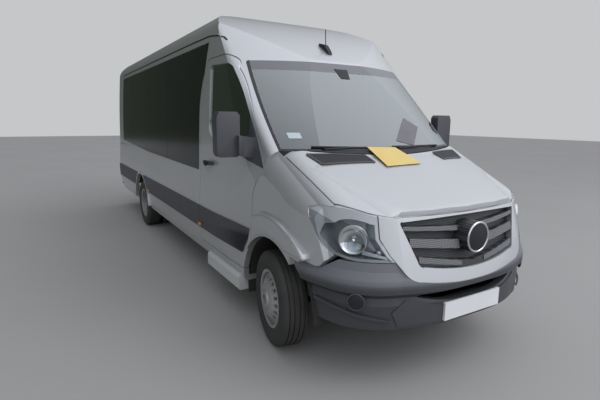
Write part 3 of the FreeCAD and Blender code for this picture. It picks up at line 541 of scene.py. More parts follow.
def bezel_mask(nt):
    """Mask of the lamp housing above a slanted line and outside the bowl."""
    place = place_in(nt)
    dx = maths(nt, "SUBTRACT", BOWL_X, maths(nt, "ABSOLUTE", place["X"]))
    dz = maths(nt, "SUBTRACT", place["Z"], BOWL_Z)
    squares = maths(nt, "ADD", maths(nt, "MULTIPLY", dx, dx), maths(nt, "MULTIPLY", dz, dz))
    reach = maths(nt, "SQRT", squares)
    upper = ramp(nt, maths(nt, "ADD", dz, maths(nt, "MULTIPLY", dx, BEZEL_SLANT)), BEZEL_LOW, BEZEL_HIGH)
    return maths(nt, "MULTIPLY", upper, ramp(nt, reach, BOWL_OUT, BOWL_OUT + BEZEL_SOFT))


def mesh_finish(name, dark, light, pitch):
    """Plastic mesh: light bars of the shared lattice over a dark ground."""
    m = finish(name, dark, dark, 0.5, slow=6, bump=0.2)
    bars = node(m.node_tree, "ShaderNodeGroup", {"Turn": 2 * math.pi / pitch}, node_tree=LATTICE)
    return overlay(m, bars.outputs["Bars"], light)


# Painted highlight: the bumper is painted paler from these heights upwards, standing in for light from above
# on its shelf
shelf_highlight = ramp(BUMPER.node_tree, place_in(BUMPER.node_tree)["Z"], SHELF_HIGHLIGHT_LOW, SHELF_HIGHLIGHT_HIGH)
overlay(BUMPER, shelf_highlight, (0.155, 0.160, 0.182))
overlay(LAMP_GREY, bezel_mask(LAMP_GREY.node_tree), (0.72, 0.73, 0.74))
MESH = mesh_finish("grille_mesh", (0.006, 0.006, 0.007), (0.050, 0.052, 0.058), 0.013)
SLAT_MESH = mesh_finish("slat_mesh", (0.075, 0.077, 0.085), (0.19, 0.192, 0.20), 0.012)
print(len(bpy.data.materials), "finishes")

# %% [markdown]
# ### Finishes on the CAD parts
# Each CAD node is one material in the real vehicle, so it gets one finish. Rows of finish and nodes
# are easier to check against the vehicle than a colour set here and there between the other steps.

# %% Finishes set on the nodes
# Each row: the finish, nodes by full name, and nodes that come as a right and a left one
FINISHED = [
    (PAINT, ["wings", "bonnet", "roof_panel", "nose_panel"], ["side_wall", "door", "rear_door"]),
    (DARK_GLASS, ["side_glass"], ["rear_glass"]),
    (SCREEN_GLASS, ["windscreen"], []),
    (CLEAR_GLASS, [], ["door_glass"]),
    (LENS, ["headlamp_lenses"], []),
    (LAMP_GREY, ["headlamps"], []),
    (BUMPER, ["front_bumper"], []),
    (PLASTIC, ["rear_bumper", "side_mouldings"], ["door_trim"]),
    (BLACK_TRIM, ["cowl", "wipers", "aerial"], []),
    (MESH, ["grille"], []),
    (GREY_PLASTIC, ["entry_step"], []),
    (CABIN, ["dashboard", "steering_wheel"], []),
    (UNDER, ["floor_pan"], []),
    (BLACK, ["chassis_rails", "front_axle", "rear_axle", "leaf_springs", "propeller_shaft", "fuel_tank"], []),
    (IRON, ["engine"], ["knuckle"]),
    (EXHAUST, ["exhaust"], []),
    (SILVER, [], ["rims_rear"]),
    (FLAP, ["mudflaps"], []),
    (TAIL, ["tail_lamps"], []),
    (PLATE, ["number_plates"], []),
]
for material, single, paired in FINISHED:
    for name in single + [stem + "_" + side_name for stem in paired for side_name, _ in SIDES]:
        data = nodes[name].data
        if not data.materials:
            data.materials.append(material)
        for k in range(len(data.materials)):
            data.materials[k] = material
print(len(FINISHED), "finishes on CAD nodes")

# %% [markdown]
# ## Tyres
# A tyre is moulded as one ring: sidewalls that bulge above the rim, a flat tread with grooves all
# round. One profile, drawn as a chain and spun about the hub, gives that directly; the facets of
# the CAD tyre are replaced by it. A cylinder with a bevel would miss the grooves and the bead.

# %% Tyre profile spun about the hub
TYRE_SIDE = [(78, 204), (83, 215), (87, 219), (93, 232), (98, 248), (101, 266), (102, 284), (100, 304),
             (95, 322), (87, 336), (77, 344.5), (66, 348.5)]
GROOVES = [(58, 50), (24, 15), (-15, -24), (-50, -58)]
GROOVE_R = 341.0
TREAD_R = 350
SHOULDER = (62, 349.6)
TYRE_STEPS = 90
SEAM = 0.00005


def spun(name, points, steps):
    """Closed outline of (x, r) in millimetres spun about the X axis."""
    chain = [Vector((x / 1000, 0, r / 1000)) for x, r in points]
    piece = trace(name, chain + [chain[0]], fill=False)
    open_edit(piece)
    bpy.ops.mesh.spin(steps=steps, angle=2 * math.pi, center=(0, 0, 0), axis=(1, 0, 0))
    bpy.ops.mesh.select_all(action="SELECT")
    bpy.ops.mesh.remove_doubles(threshold=SEAM)
    close_edit()
    face_out(piece)
    set_down(piece)
    return piece


tread = [SHOULDER]
for a, b in GROOVES:
    tread += [(a, TREAD_R), (a - 1, GROOVE_R), (b + 1, GROOVE_R), (b, TREAD_R)]
tread += [(-SHOULDER[0], SHOULDER[1])]
tyre_outline = TYRE_SIDE + tread + [(-x, r) for x, r in reversed(TYRE_SIDE)]
tyre_model = spun("tyre_model", tyre_outline, TYRE_STEPS)
print("tyre profile of", len(tyre_outline), "points")

# %% [markdown]
# ## Wheels
# A steel wheel is a rolled rim with a pressed disc welded in, pierced by a ring of round holes and
# held by six nuts. The disc and rim are one spun outline; the holes are cut with a ring of rods.
# Painting dark spots on a plain disc would be quicker, but the holes show their depth at a slant.

# %% Front wheel: spun disc, pierced
FRONT_RIM = [(88, 215), (81, 215), (78, 203), (-78, 203), (-81, 215), (-88, 215), (-88, 206), (-84, 192),
             (50, 192), (84, 134), (99, 106), (99, 76), (96, 62), (96, 34), (126, 34), (126, 60), (122, 65),
             (113, 72), (111, 80), (112, 110), (106, 122), (97, 140), (70, 182), (66, 193), (84, 193),
             (88, 206)]
RIM_STEPS = 72
HOLE_COUNT = 18
HOLE_RING = 0.152
HOLE_R = 0.0145
DRILL_X = 0.08
DRILL_LONG = 0.16


def on_ring(x, ring, k, count):
    """Place of one of several pieces spread evenly round the X axis."""
    a = 2 * math.pi * k / count
    return (x, ring * math.sin(a), ring * math.cos(a))


def axle_rod(name, x, y, z, radius, depth, sides):
    """Cylinder along the X axis."""
    return start(name, "cylinder", vertices=sides, radius=radius, depth=depth, location=(x, y, z),
                 rotation=(0, math.pi / 2, 0))


front_rim = spun("front_rim", FRONT_RIM, RIM_STEPS)
drill = None
for k in range(HOLE_COUNT):
    place = on_ring(DRILL_X, HOLE_RING, k + 0.5, HOLE_COUNT)
    drill = join(drill, axle_rod("drill", *place, radius=HOLE_R, depth=DRILL_LONG, sides=14))
modify(front_rim, "BOOLEAN", operation="DIFFERENCE", object=drill, solver="EXACT")
bpy.data.objects.remove(drill)
print("front rim faces", len(front_rim.data.polygons))

# %% [markdown]
# ### Wheel nuts
# Six nuts on studs, each on a washer, hold the wheel round a pressed hub cap. A nut is a stack of
# short rods, and the ring is one loop, because all of them are the same bought part.

# %% Wheel nuts and hub caps
NUT_COUNT = 6
NUT_RING = 0.091
REAR_NUT_RING = 0.097
NUT_FACE_X = 0.112
REAR_NUT_FACE_X = -0.107
CAP_R = 0.046
CAP_DEEP = 0.03
CAP_OUT = 0.012
# Washer, nut and stud: radius, depth, sides, distance out from the disc
NUT_STACK = ((0.016, 0.004, 20, 0.002), (0.0125, 0.02, 6, 0.012), (0.008, 0.03, 12, 0.016))


def nuts(name, x, ring):
    """Ring of wheel nuts with washers and a hub cap."""
    whole = axle_rod(name, x + CAP_OUT, 0, 0, radius=CAP_R, depth=CAP_DEEP, sides=32)
    ease(whole, width=0.006, segments=3, above=50)
    for k in range(NUT_COUNT):
        for radius, depth, sides, out in NUT_STACK:
            whole = join(whole, axle_rod("nut", *on_ring(x + out, ring, k, NUT_COUNT), radius, depth, sides))
    return whole


front_nuts = nuts("front_nuts", NUT_FACE_X, NUT_RING)
rear_nuts = nuts("rear_nuts", REAR_NUT_FACE_X, REAR_NUT_RING)
print("nut faces", len(front_nuts.data.polygons), len(rear_nuts.data.polygons))

# %% [markdown]
# ### Wheels set on their hubs
# The front wheels of the photographed vehicle are turned a little to its right, each about its own
# kingpin, and the rear ones stand in pairs. Each model is made once at the origin and copied, so
# that all tyres are alike. The copies ride on the bodies that turn.

# %% Copies on the hubs


def stand(piece, name, side, x, y, turn):
    """Copy of a hub-centred piece placed on the right or left and turned with the steering."""
    other = twin(piece, name)
    active(other)
    if side < 0:
        other.rotation_euler.z = math.pi
        bpy.ops.object.transform_apply(rotation=True, location=False, scale=False)
    other.rotation_euler.z = turn
    other.location = (x, y, AXLE_Z)
    set_down(other)
    return other


rear_y = FRONT_AXLE_Y + WHEELBASE
for side_name, side in SIDES:
    reach = side * (FRONT_TRACK / 2 - KINGPIN_X)
    hub_x = side * KINGPIN_X + reach * math.cos(REST_STEER)
    hub_y = FRONT_AXLE_Y + reach * math.sin(REST_STEER)
    front = (side, hub_x, hub_y, REST_STEER)
    body = "wheel_front_" + side_name
    tyre = stand(tyre_model, "tyre_dressing_front_" + side_name, *front)
    settle(tyre, body, TYRE_RUBBER, smooth=32)
    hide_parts("tyre_front_" + side_name)
    rim = stand(front_rim, "rim_dressing_front_" + side_name, *front)
    settle(rim, body, SILVER, smooth=35)
    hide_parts("rim_front_" + side_name)
    settle(stand(front_nuts, "nuts_front_" + side_name, *front), body, SILVER, smooth=30)
    body = "wheels_rear_" + side_name
    for place_name, out in (("outer", TWIN_HALF), ("inner", -TWIN_HALF)):
        tyre = stand(tyre_model, "tyre_dressing_%s_%s" % (place_name, side_name), side,
                     side * (REAR_HUB_X + out), rear_y, 0)
        settle(tyre, body, TYRE_RUBBER, smooth=32)
        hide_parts("tyres_rear_" + side_name)
    hub = stand(rear_nuts, "nuts_rear_" + side_name, side, side * (REAR_HUB_X + TWIN_HALF), rear_y, 0)
    settle(hub, body, SILVER, smooth=30)
for model in (tyre_model, front_rim, front_nuts, rear_nuts):
    bpy.data.objects.remove(model)
print("wheels set, front hub at", round(hub_x, 4), round(hub_y, 4))

# %% [markdown]
# ## Grille
# The real grille is a moulding with three bright slats before a black mesh and a round disc in the
# middle. The CAD part carries the shape; bright caps are pressed onto its slats, and the disc gets a
# ring and a dark, plain face. Painting by height would let the colour run into the mesh.

# %% Slat caps
# Heights of a slat in mm: top and low edge at the middle, then 600 mm out, as (top, top_out, low, low_out)
SLATS = [(994, 1027, 965, 1003), (908, 958, 858, 913), (778, 862, 739, 811)]
SLAT_SPAN = 600
SLAT_INNER = 106
SLAT_OUTER = [512, 480, 436]
SLAT_AHEAD = -1020
SLAT_IN = 3
LAST_SLAT_IN = 16
SLAT_WIDER = 1.3
SLAT_DEEP = 0.010


def between(middle, far, x):
    """Height at x of an edge that is given at the middle and SLAT_SPAN out."""
    return middle + (far - middle) * x / SLAT_SPAN


for k, (top, top_out, low, low_out) in enumerate(SLATS):
    low_in = LAST_SLAT_IN if k == len(SLATS) - 1 else SLAT_IN
    ends = (SLAT_INNER, SLAT_OUTER[k])
    corners = [mm(-x, SLAT_AHEAD, between(low, low_out, x) + low_in) for x in ends]
    corners += [mm(-x, SLAT_AHEAD, between(top, top_out, x) - SLAT_IN) for x in reversed(ends)]
    cap = trace("slat_cap_right_%d" % k, corners)
    slices(cap, ACROSS, step=0.03)
    press(cap, "grille", BACKWARDS, lift=0.002, thick=0.0)
    open_edit(cap)
    bpy.ops.transform.resize(value=(1, 1, SLAT_WIDER))
    close_edit()
    modify(cap, "SOLIDIFY", thickness=SLAT_DEEP, offset=0.0)
    settle_pair(cap, SLAT_MESH)
print(len(SLATS), "pairs of slat caps")

# %% Disc and ring of the grille
DISC_AT = (0, -971, 929)
DISC_R = 0.088
DISC_DEEP = 0.006
RING_AT = (0, -970, 929)
RING_R = 0.093
RING_WIRE = 0.0075
FACING_AHEAD = math.pi / 2
disc = start("disc_face", "cylinder", vertices=64, radius=DISC_R, depth=DISC_DEEP, location=mm(*DISC_AT),
             rotation=(FACING_AHEAD, 0, 0))
settle(ease(disc, width=0.002, segments=2, above=50), "body", BLACK_TRIM)
ring = start("disc_ring", "torus", major_segments=72, minor_segments=12, major_radius=RING_R,
             minor_radius=RING_WIRE, location=mm(*RING_AT), rotation=(FACING_AHEAD, 0, 0))
settle(ring, "body", CHROME)
print("ring", [round(v, 3) for v in ring.dimensions])

# %% [markdown]
# ## Bonnet
# A bonnet is one pressed sheet: its middle stands higher than its flanks, and a crease runs from
# each rear corner to the grille. The middle is traced from above, sliced and pressed onto the CAD
# bonnet; its side edges are drawn out and folded down to the flanks, and the rest is tipped up
# towards the front. A displaced copy of the whole bonnet would blur the crease.

# %% Raised middle of the bonnet
CREASE_REAR = mm(-787, -236, 1350)
CREASE_FRONT = mm(-513, -805, 1350)
FLANK_TURN = math.radians(6.5)
BONNET_TIP = math.radians(2.5)
MIDDLE = [(-787, -236), (-513, -805), (-300, -842), (0, -856), (300, -842), (513, -805), (787, -236),
          (430, -262), (0, -264), (-430, -262)]
ABOVE = 1600
ON_CREASE = 0.003
FLANK_OUT = 0.002
FOOT_FROM = 0.0015
SKIRT = 0.030
SKIN_MERGE = 0.004


def crease_side(co, side):
    """Distance outside the crease of one side, in metres."""
    rear = Vector((-side * CREASE_REAR.x, CREASE_REAR.y))
    front = Vector((-side * CREASE_FRONT.x, CREASE_FRONT.y))
    out = Vector((-(front - rear).y * side, (front - rear).x * side)).normalized()
    return (Vector((co.x, co.y)) - rear).dot(out)


def in_flank(v):
    """Whether a vertex lies outside either crease."""
    return crease_side(v.co, -1) > FOOT_FROM or crease_side(v.co, 1) > FOOT_FROM


skin = trace("bonnet_middle", [mm(x, y, ABOVE) for x, y in MIDDLE])
slices(skin, ACROSS)
slices(skin, ALONG, step=0.04)
press(skin, "bonnet", DOWNWARDS, lift=0.0, thick=0.0)
for side in (-1, 1):
    pick(skin, lambda v: crease_side(v.co, side) > -ON_CREASE)
    bpy.ops.mesh.extrude_region_move(TRANSFORM_OT_translate={"value": (side * FLANK_OUT, 0, 0)})
    bpy.ops.transform.rotate(value=-side * FLANK_TURN, orient_axis="Z",
                             center_override=Vector((-side * CREASE_REAR.x, CREASE_REAR.y, 0)))
    close_edit()
skin.vertex_groups.new(name="foot")
pick(skin, in_flank)
bpy.ops.object.vertex_group_assign()
close_edit()
modify(skin, "SHRINKWRAP", target=nodes["bonnet"], wrap_method="NEAREST_SURFACEPOINT", vertex_group="foot",
       offset=0.0)
pick(skin, lambda v: not in_flank(v))
bpy.ops.transform.rotate(value=BONNET_TIP, orient_axis="X", center_override=CREASE_REAR)
close_edit()
bpy.ops.object.vertex_group_remove(all=True)
open_edit(skin, "DESELECT", "EDGE")
bpy.ops.mesh.select_non_manifold(extend=False)
bpy.ops.mesh.extrude_region_move(TRANSFORM_OT_translate={"value": (0, 0, -SKIRT)})
close_edit()
open_edit(skin)
bpy.ops.mesh.remove_doubles(threshold=SKIN_MERGE)
close_edit()
ease(skin, width=0.010, segments=3, above=55)
settle(skin, "bonnet_lid", PAINT, smooth=30)
print("bonnet skin", len(skin.data.vertices), "points,", [round(v, 3) for v in skin.dimensions])

# %% [markdown]
# ### Vents and sheet
# Two black vents with a raised rim lie before the wipers, and a plain yellow sheet lies on the
# bonnet, as in the photograph. A vent is a blank pressed onto the lid and each rim bar a narrow one.
# Cutting real openings would need a lid that is open below. The sheet stays flat, as stiff card is.

# %% Vents and sheet on the bonnet
VENTS = {
    "vent_right": [(-741, -119), (-697, -248), (-300, -316), (-320, -232)],
    "vent_left": [(375, -222), (681, -150), (655, -260), (399, -311)],
}
VENT_RIM_HALF = 0.006
VENT_LIFT, RIM_LIFT = 0.005, 0.007
SHEET = [(-243, -157), (15, -173), (89, -382), (-249, -393)]
SHEET_Y, SHEET_Z = -150, 1452
LID_SLOPE = 0.503


def lid_plate(name, corners, lift, material):
    """Flat blank traced, sliced, pressed down onto the bonnet and finished."""
    piece = trace(name, corners)
    slices(piece, ACROSS)
    slices(piece, ALONG)
    press(piece, "bonnet", DOWNWARDS, lift, thick=0.004)
    return settle(piece, "bonnet_lid", material)


for name, points in VENTS.items():
    corners = [mm(x, y, ABOVE) for x, y in points]
    lid_plate(name, corners, VENT_LIFT, BLACK_TRIM)
    for k, (a, b) in enumerate(zip(corners, corners[1:] + corners[:1])):
        across = (b - a).normalized().cross(Vector((0, 0, 1))) * VENT_RIM_HALF
        bar = [a - across, b - across, b + across, a + across]
        lid_plate("%s_rim_%d" % (name, k), bar, RIM_LIFT, PLASTIC)
sheet = trace("yellow_sheet", [mm(x, y, SHEET_Z + LID_SLOPE * (y - SHEET_Y)) for x, y in SHEET])
slices(sheet, ACROSS, step=0.04)
modify(sheet, "SOLIDIFY", thickness=0.002, offset=0.0)
settle(sheet, "bonnet_lid", YELLOW)
print("sheet", [round(v, 3) for v in sheet.dimensions])

# %% [markdown]
# ## Headlamps
# Behind the clear lens stands a bright bowl with its bulb cap and a small park lamp beside it. The
# pale bezel round the top and the inner edge is in the finish of the CAD housing. The lens is a copy
# of the CAD lens, a hair thicker, so that its inner face and the housing don't share one place.

# %% Bowl, strip and park lamp
LAMP_AT = (-764, -692, 945)
PARK_AT = (-648, -788, 872)
LAMP_TURN = math.radians(-42)
BOWL_R = 0.082
BOWL_DEEP = 0.05
PARK_R = 0.022
HOOP_R = 0.085
HOOP_WIRE = 0.005
# Steps from the rim to the bulb cap: share of the last size, and how far it sinks
BOWL_STEPS = ((0.93, 0.0), (0.80, 0.016), (0.55, 0.010), (0.36, 0.004), (0.92, -0.020), (0.4, -0.006))
BRIGHT_STRIP = [(-745, 868), (-600, 838), (-606, 852), (-740, 892)]
FAR_AHEAD = -1300


def lamp_part(name, kind, at, **size):
    """Primitive on the slanted axis of the headlamp."""
    return start(name, kind, location=mm(*at), rotation=(FACING_AHEAD, 0, LAMP_TURN), **size)


bowl = lamp_part("lamp_bowl_right", "cylinder", LAMP_AT, vertices=48, radius=BOWL_R, depth=BOWL_DEEP)
pick(bowl, lambda face: face.normal.z > 0.9, "FACE")
for shrink, sink in BOWL_STEPS:
    bpy.ops.mesh.inset(thickness=0.0)
    bpy.ops.transform.resize(value=(shrink, shrink, shrink))
    bpy.ops.transform.translate(value=(0, 0, -sink), orient_type="LOCAL")
close_edit()
park = lamp_part("park_bowl_right", "uv_sphere", PARK_AT, segments=24, ring_count=12, radius=PARK_R)
hoop = lamp_part("lamp_hoop_right", "torus", LAMP_AT, major_segments=48, minor_segments=8,
                 major_radius=HOOP_R, minor_radius=HOOP_WIRE)
strip = trace("lamp_strip_right", [mm(x, FAR_AHEAD, z) for x, z in BRIGHT_STRIP])
slices(strip, ACROSS, step=0.012)
press(strip, "headlamp_lenses", BACKWARDS, lift=-0.016, thick=0.003)
for piece, material in ((bowl, CHROME), (park, CHROME), (hoop, LAMP_GREY), (strip, CHROME)):
    settle_pair(piece, material)
print("lamp bowl faces", len(bowl.data.polygons))

# %% Lens, a hair thicker
LENS_SWELL = 0.0012
MERGE_NEAR = 0.0002
lens = twin(nodes["headlamp_lenses"], "lens_cover")
open_edit(lens)
bpy.ops.mesh.remove_doubles(threshold=MERGE_NEAR)
bpy.ops.transform.shrink_fatten(value=LENS_SWELL)
close_edit()
settle(lens, "body", LENS)
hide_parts("headlamp_lenses")
print("lens faces", len(lens.data.polygons))

# %% [markdown]
# ## Wheel flares
# The flare is rolled outwards from the wing as a broad band with a round edge. It is traced as a
# flat band from the side, pushed in to the wing and rounded. Pressing it onto the wing crumples it,
# because the wing steps inwards at the bumper.

# %% Flares over the front wheels
ARCH_R = 472.0
ARCH_FROM, ARCH_STEP, ARCH_POINTS = -25.6, 7.98, 9
AXLE_MM = AXLE_Z * 1000
FLARE_OUTER = [(297, 866), (250, 937), (170, 966), (78, 981), (-60, 976), (-190, 946), (-330, 886),
               (-452, 820), (-470, 778)]
FLARE_X = -984
FLARE_DEEP = 0.088
FLARE_ROUND = 0.022
angles = [math.radians(ARCH_FROM + k * ARCH_STEP) for k in range(ARCH_POINTS)]
flare_inner = [(ARCH_R * math.sin(a), AXLE_MM + ARCH_R * math.cos(a)) for a in angles]
flare = trace("flare_right", [mm(FLARE_X, y, z) for y, z in FLARE_OUTER + flare_inner])
push(flare, Vector((FLARE_DEEP, 0, 0)))
ease(flare, FLARE_ROUND, segments=4, above=50)
settle_pair(flare, PAINT, smooth=35)
print("flare faces", len(flare.data.polygons))

# %% [markdown]
# ## Bumper
# The bumper carries a round blank where a fog lamp could go, a lip along its lower edge and a chin
# panel in the middle, and mesh shows through its intake. Blank and ring are turned parts set on the
# slanted corner; lip and chin are blanks pressed onto the moulding, so that they follow its curve.

# %% Bumper: fog lamp blank, lip, chin and mesh
FOG_AT = (-791, -769, 590)
FOG_TURN = math.radians(-46)
FOG_R = 0.043
FOG_DEEP = 0.02
FOG_RING_R = 0.049
FOG_RING_WIRE = 0.006
LIP = [(-905, 548), (-870, 532), (-760, 490), (-600, 462), (-600, 470), (-760, 507), (-870, 548), (-905, 562)]
CHIN = [(-514, 590), (-262, 536), (-262, 428), (-560, 430), (-600, 520)]
INTAKE_AT = (0, -845, 600)
INTAKE_SIZE = (0.98, 0.03, 0.26)
blank = start("fog_blank_right", "cylinder", vertices=40, radius=FOG_R, depth=FOG_DEEP, location=mm(*FOG_AT),
              rotation=(FACING_AHEAD, 0, FOG_TURN))
ease(blank, width=0.005, segments=3, above=50)
socket_ring = start("fog_ring_right", "torus", major_segments=48, minor_segments=8, major_radius=FOG_RING_R,
                    minor_radius=FOG_RING_WIRE, location=mm(*FOG_AT), rotation=(FACING_AHEAD, 0, FOG_TURN))
lip = trace("bumper_lip_right", [mm(x, FAR_AHEAD, z) for x, z in LIP])
slices(lip, ACROSS, step=0.02)
press(lip, "front_bumper", BACKWARDS, lift=0.012, thick=0.012)
chin = trace("chin_right", [mm(x, FAR_AHEAD, z) for x, z in CHIN])
slices(chin, ACROSS)
slices(chin, UP)
press(chin, "front_bumper", BACKWARDS, lift=0.004, thick=0.004)
for piece, material in ((blank, BLACK_TRIM), (socket_ring, PLASTIC), (lip, PLASTIC), (chin, PLASTIC)):
    settle_pair(piece, material)
core = start("intake_mesh", "cube", size=1, location=mm(*INTAKE_AT), scale=INTAKE_SIZE)
settle(core, "body", MESH)
print("bumper dressed, lip", [round(v, 3) for v in lip.dimensions])

# %% [markdown]
# ## Windscreen
# A rain sensor sits at the top of the windscreen, a pale blank sticker in its corner and a plain
# board at its foot. They are thin blanks pressed onto the pane, because the pane curves and a flat
# piece would stand off at its ends.

# %% Windscreen: sensor, sticker and board
BEFORE_SCREEN = -600
SCREEN_ITEMS = {
    "rain_sensor": ([(-70, 2070), (70, 2070), (45, 1985), (-45, 1985)], BLACK_TRIM, "dark_plastic"),
    "pale_sticker": ([(-757, 1545), (-668, 1545), (-668, 1505), (-757, 1505)], PALE, "plate"),
    "dark_board": ([(179, 1479), (340, 1440), (510, 1584), (404, 1662)], BOARD, "cabin_plastic"),
}
for name, (points, material, slot) in SCREEN_ITEMS.items():
    piece = trace(name, [mm(x, BEFORE_SCREEN, z) for x, z in points])
    slices(piece, ACROSS, step=0.03)
    press(piece, "windscreen", BACKWARDS, lift=0.002, thick=0.002)
    settle(piece, "body", material)
print(len(SCREEN_ITEMS), "pieces on the windscreen")

# %% [markdown]
# ## Side
# A rubber channel runs along the roof's edge to catch rain, with a painted rail above it, and amber
# markers sit on the moulding. Channel and rail are one ribbon each, drawn from the side and pressed
# onto wall, roof and door together, so that they bend with the roof at the front.

# %% Drip channel and markers
CHANNEL = [(5900, 2379), (4400, 2379), (2900, 2379), (1900, 2379), (1297, 2372), (1063, 2342), (1008, 2325),
           (971, 2297)]
CHANNEL_HALF = 5
RAIL_ABOVE = 11
RAIL_POINTS = 6
SIDE_SKIN = ("side_wall_right", "roof_panel", "door_right")
BESIDE = -1400
MARKERS = [(1403, 632), (3700, 632)]
MARKER_X = 1019
MARKER_SIZE = (0.014, 0.060, 0.026)
DOOR_END_Y = 1475


def ribbon(name, points, lift, thick):
    """Narrow strip along a line of (y, z), pressed from the right onto the side."""
    upper = [mm(BESIDE, y, z + CHANNEL_HALF) for y, z in points]
    lower = [mm(BESIDE, y, z - CHANNEL_HALF) for y, z in reversed(points)]
    piece = trace(name, upper + lower)
    slices(piece, ALONG, step=0.06)
    return press(piece, SIDE_SKIN, LEFTWARDS, lift, thick)


def rounded_box(name, at, size, width, segments):
    """Box of a size with its edges rounded."""
    piece = start(name, "cube", size=1, location=mm(*at), scale=size)
    bpy.ops.object.transform_apply(scale=True, location=False, rotation=False)
    return ease(piece, width, segments)


channel = ribbon("drip_groove_right", CHANNEL, lift=0.001, thick=0.003)
rail_line = [(y, z + RAIL_ABOVE) for y, z in CHANNEL[:RAIL_POINTS]]
rail = ribbon("drip_rail_right", rail_line, lift=0.004, thick=0.006)
settle_pair(channel, SEAL_RUBBER)
settle_pair(rail, PAINT)
for k, (y, z) in enumerate(MARKERS):
    for side_name, side in SIDES:
        marker = rounded_box("marker_%s_%d" % (side_name, k), (side * MARKER_X, y, z), MARKER_SIZE,
                             width=0.005, segments=2)
        settle(marker, "front_door_" + side_name if y < DOOR_END_Y else "body", AMBER)
print("channel", [round(v, 3) for v in channel.dimensions])

# %% [markdown]
# ## Mirrors
# A mirror head is a moulded bowl with well-rounded edges, on an arm from the black corner of the
# window. The trim of each door is copied, the head is cut off the copy along a plane and rounded by
# itself, and a glass is set in its back. Rounding the whole trim at once would be held back by its
# thin strip.

# %% Rounded mirror heads
HEAD_X = -1.030
HEAD_ROUND = 0.024
MIRROR_GLASS = [(-1196, 1384), (-1052, 1384), (-1052, 1674), (-1196, 1674)]
MIRROR_BACK = 424
GLASS_THICK = 0.003
DOORS = ("front_door_right", "front_door_left")


def cut_copy(name, outer):
    """Copy of the right door's trim on one side of the plane x = HEAD_X."""
    piece = twin(nodes["door_trim_right"], name)
    open_edit(piece)
    bpy.ops.mesh.remove_doubles(threshold=MERGE_NEAR)
    bpy.ops.mesh.select_all(action="SELECT")
    bpy.ops.mesh.bisect(plane_co=(HEAD_X, 0, 0), plane_no=(-1, 0, 0), use_fill=True, clear_inner=outer,
                        clear_outer=not outer)
    bpy.ops.mesh.select_all(action="SELECT")
    bpy.ops.mesh.dissolve_limited(angle_limit=math.radians(2))
    close_edit()
    return piece


head = ease(cut_copy("mirror_head_right", outer=True), HEAD_ROUND, segments=4, above=35)
rest_trim = cut_copy("door_trim_rest_right", outer=False)
glass_plate = trace("mirror_glass_right", [mm(x, MIRROR_BACK, z) for x, z in MIRROR_GLASS])
push(glass_plate, Vector((0, GLASS_THICK, 0)))
for piece in (head, rest_trim):
    piece, other = settle_pair(piece, PLASTIC, DOORS)
    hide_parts("door_trim_right")
    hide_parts("door_trim_left")
settle_pair(glass_plate, CHROME, DOORS)
print("mirror head", len(head.data.polygons), "faces", [round(v, 3) for v in head.dimensions])

# %% [markdown]
# ## Handles
# The rear door has a bar handle, and each front door a shallow cup with a lock below it. They are
# small rounded bodies set half into the panel. Cutting the cup into the door would change the CAD
# part, and at this size only its dark outline shows.

# %% Rear handle, front handle cups and locks
REAR_BUMPER_OUT = 62
REAR_FACE_Y = (LENGTH - FRONT_OVERHANG) * 1000 - REAR_BUMPER_OUT
HANDLE_X, HANDLE_OUT, HANDLE_Z = -62, 9, 1150
HANDLE_SIZE = (0.150, 0.022, 0.034)
CUP_AT = (1010, 1210, 1243)
CUP_SIZE = (0.006, 0.052, 0.028)
LOCK_AT = (1003, 1246, 1188)
LOCK_R = 0.010
LOCK_DEEP = 0.008
handle = rounded_box("rear_handle", (HANDLE_X, REAR_FACE_Y + HANDLE_OUT, HANDLE_Z), HANDLE_SIZE, width=0.006,
                     segments=3)
settle(handle, "rear_leaf_right", BLACK_TRIM)
for side_name, side in SIDES:
    x, y, z = CUP_AT
    cup = start("handle_cup_" + side_name, "uv_sphere", segments=24, ring_count=12, radius=1, scale=CUP_SIZE,
                location=mm(side * x, y, z))
    settle(cup, "front_door_" + side_name, BLACK_TRIM)
    x, y, z = LOCK_AT
    lock = axle_rod("door_lock_" + side_name, *mm(side * x, y, z), radius=LOCK_R, depth=LOCK_DEEP, sides=20)
    settle(lock, "front_door_" + side_name, CHROME)
print("rear face at", round(REAR_FACE_Y, 1), "mm")

# %% [markdown]
# ## Seats
# A seat is a foam cushion and back under woven cloth on a steel foot. Foam is not a block: it swells
# between its seams. The pad starts as bevelled boxes, is remeshed into one even skin, blown up by a
# cloth simulation that is capped, and set. One seat is made and copied to all places.

# %% One seat, blown up
SEAT_WIDE = 430
SEAT_LEAN = 11.0
SWELL_CAP = 0.020
SWELL_FORCE = 4.0
SWELL_FRAMES = 20
CLOTH_STIFF = 12.0
VOXEL = 0.022
PAD_PARTS = [
    # name, centre (x, y, z) in mm, size, lean in degrees, rounding of the edge
    ("cushion", (0, 228, 372), (0.395, 0.455, 0.085), -3.0, 0.030),
    ("back", (0, 528, 676), (0.390, 0.072, 0.500), SEAT_LEAN, 0.028),
    ("headrest", (0, 590, 950), (0.235, 0.048, 0.110), SEAT_LEAN, 0.022),
]


def swell(pad):
    """The pad blown up by the cloth simulation, no point further than the cap."""
    rest = [v.co.copy() for v in pad.data.vertices]
    cloth = pad.modifiers.new("cloth", "CLOTH")
    cloth.settings.use_pressure = True
    cloth.settings.uniform_pressure_force = SWELL_FORCE
    cloth.settings.effector_weights.gravity = 0.0
    cloth.settings.tension_stiffness = CLOTH_STIFF
    for k in range(SWELL_FRAMES):
        bpy.context.scene.frame_set(k + 1)
    active(pad)
    bpy.ops.object.modifier_apply(modifier=cloth.name)
    bpy.context.scene.frame_set(1)
    for v, old in zip(pad.data.vertices, rest):
        move = v.co - old
        if move.length > SWELL_CAP:
            v.co = old + move.normalized() * SWELL_CAP


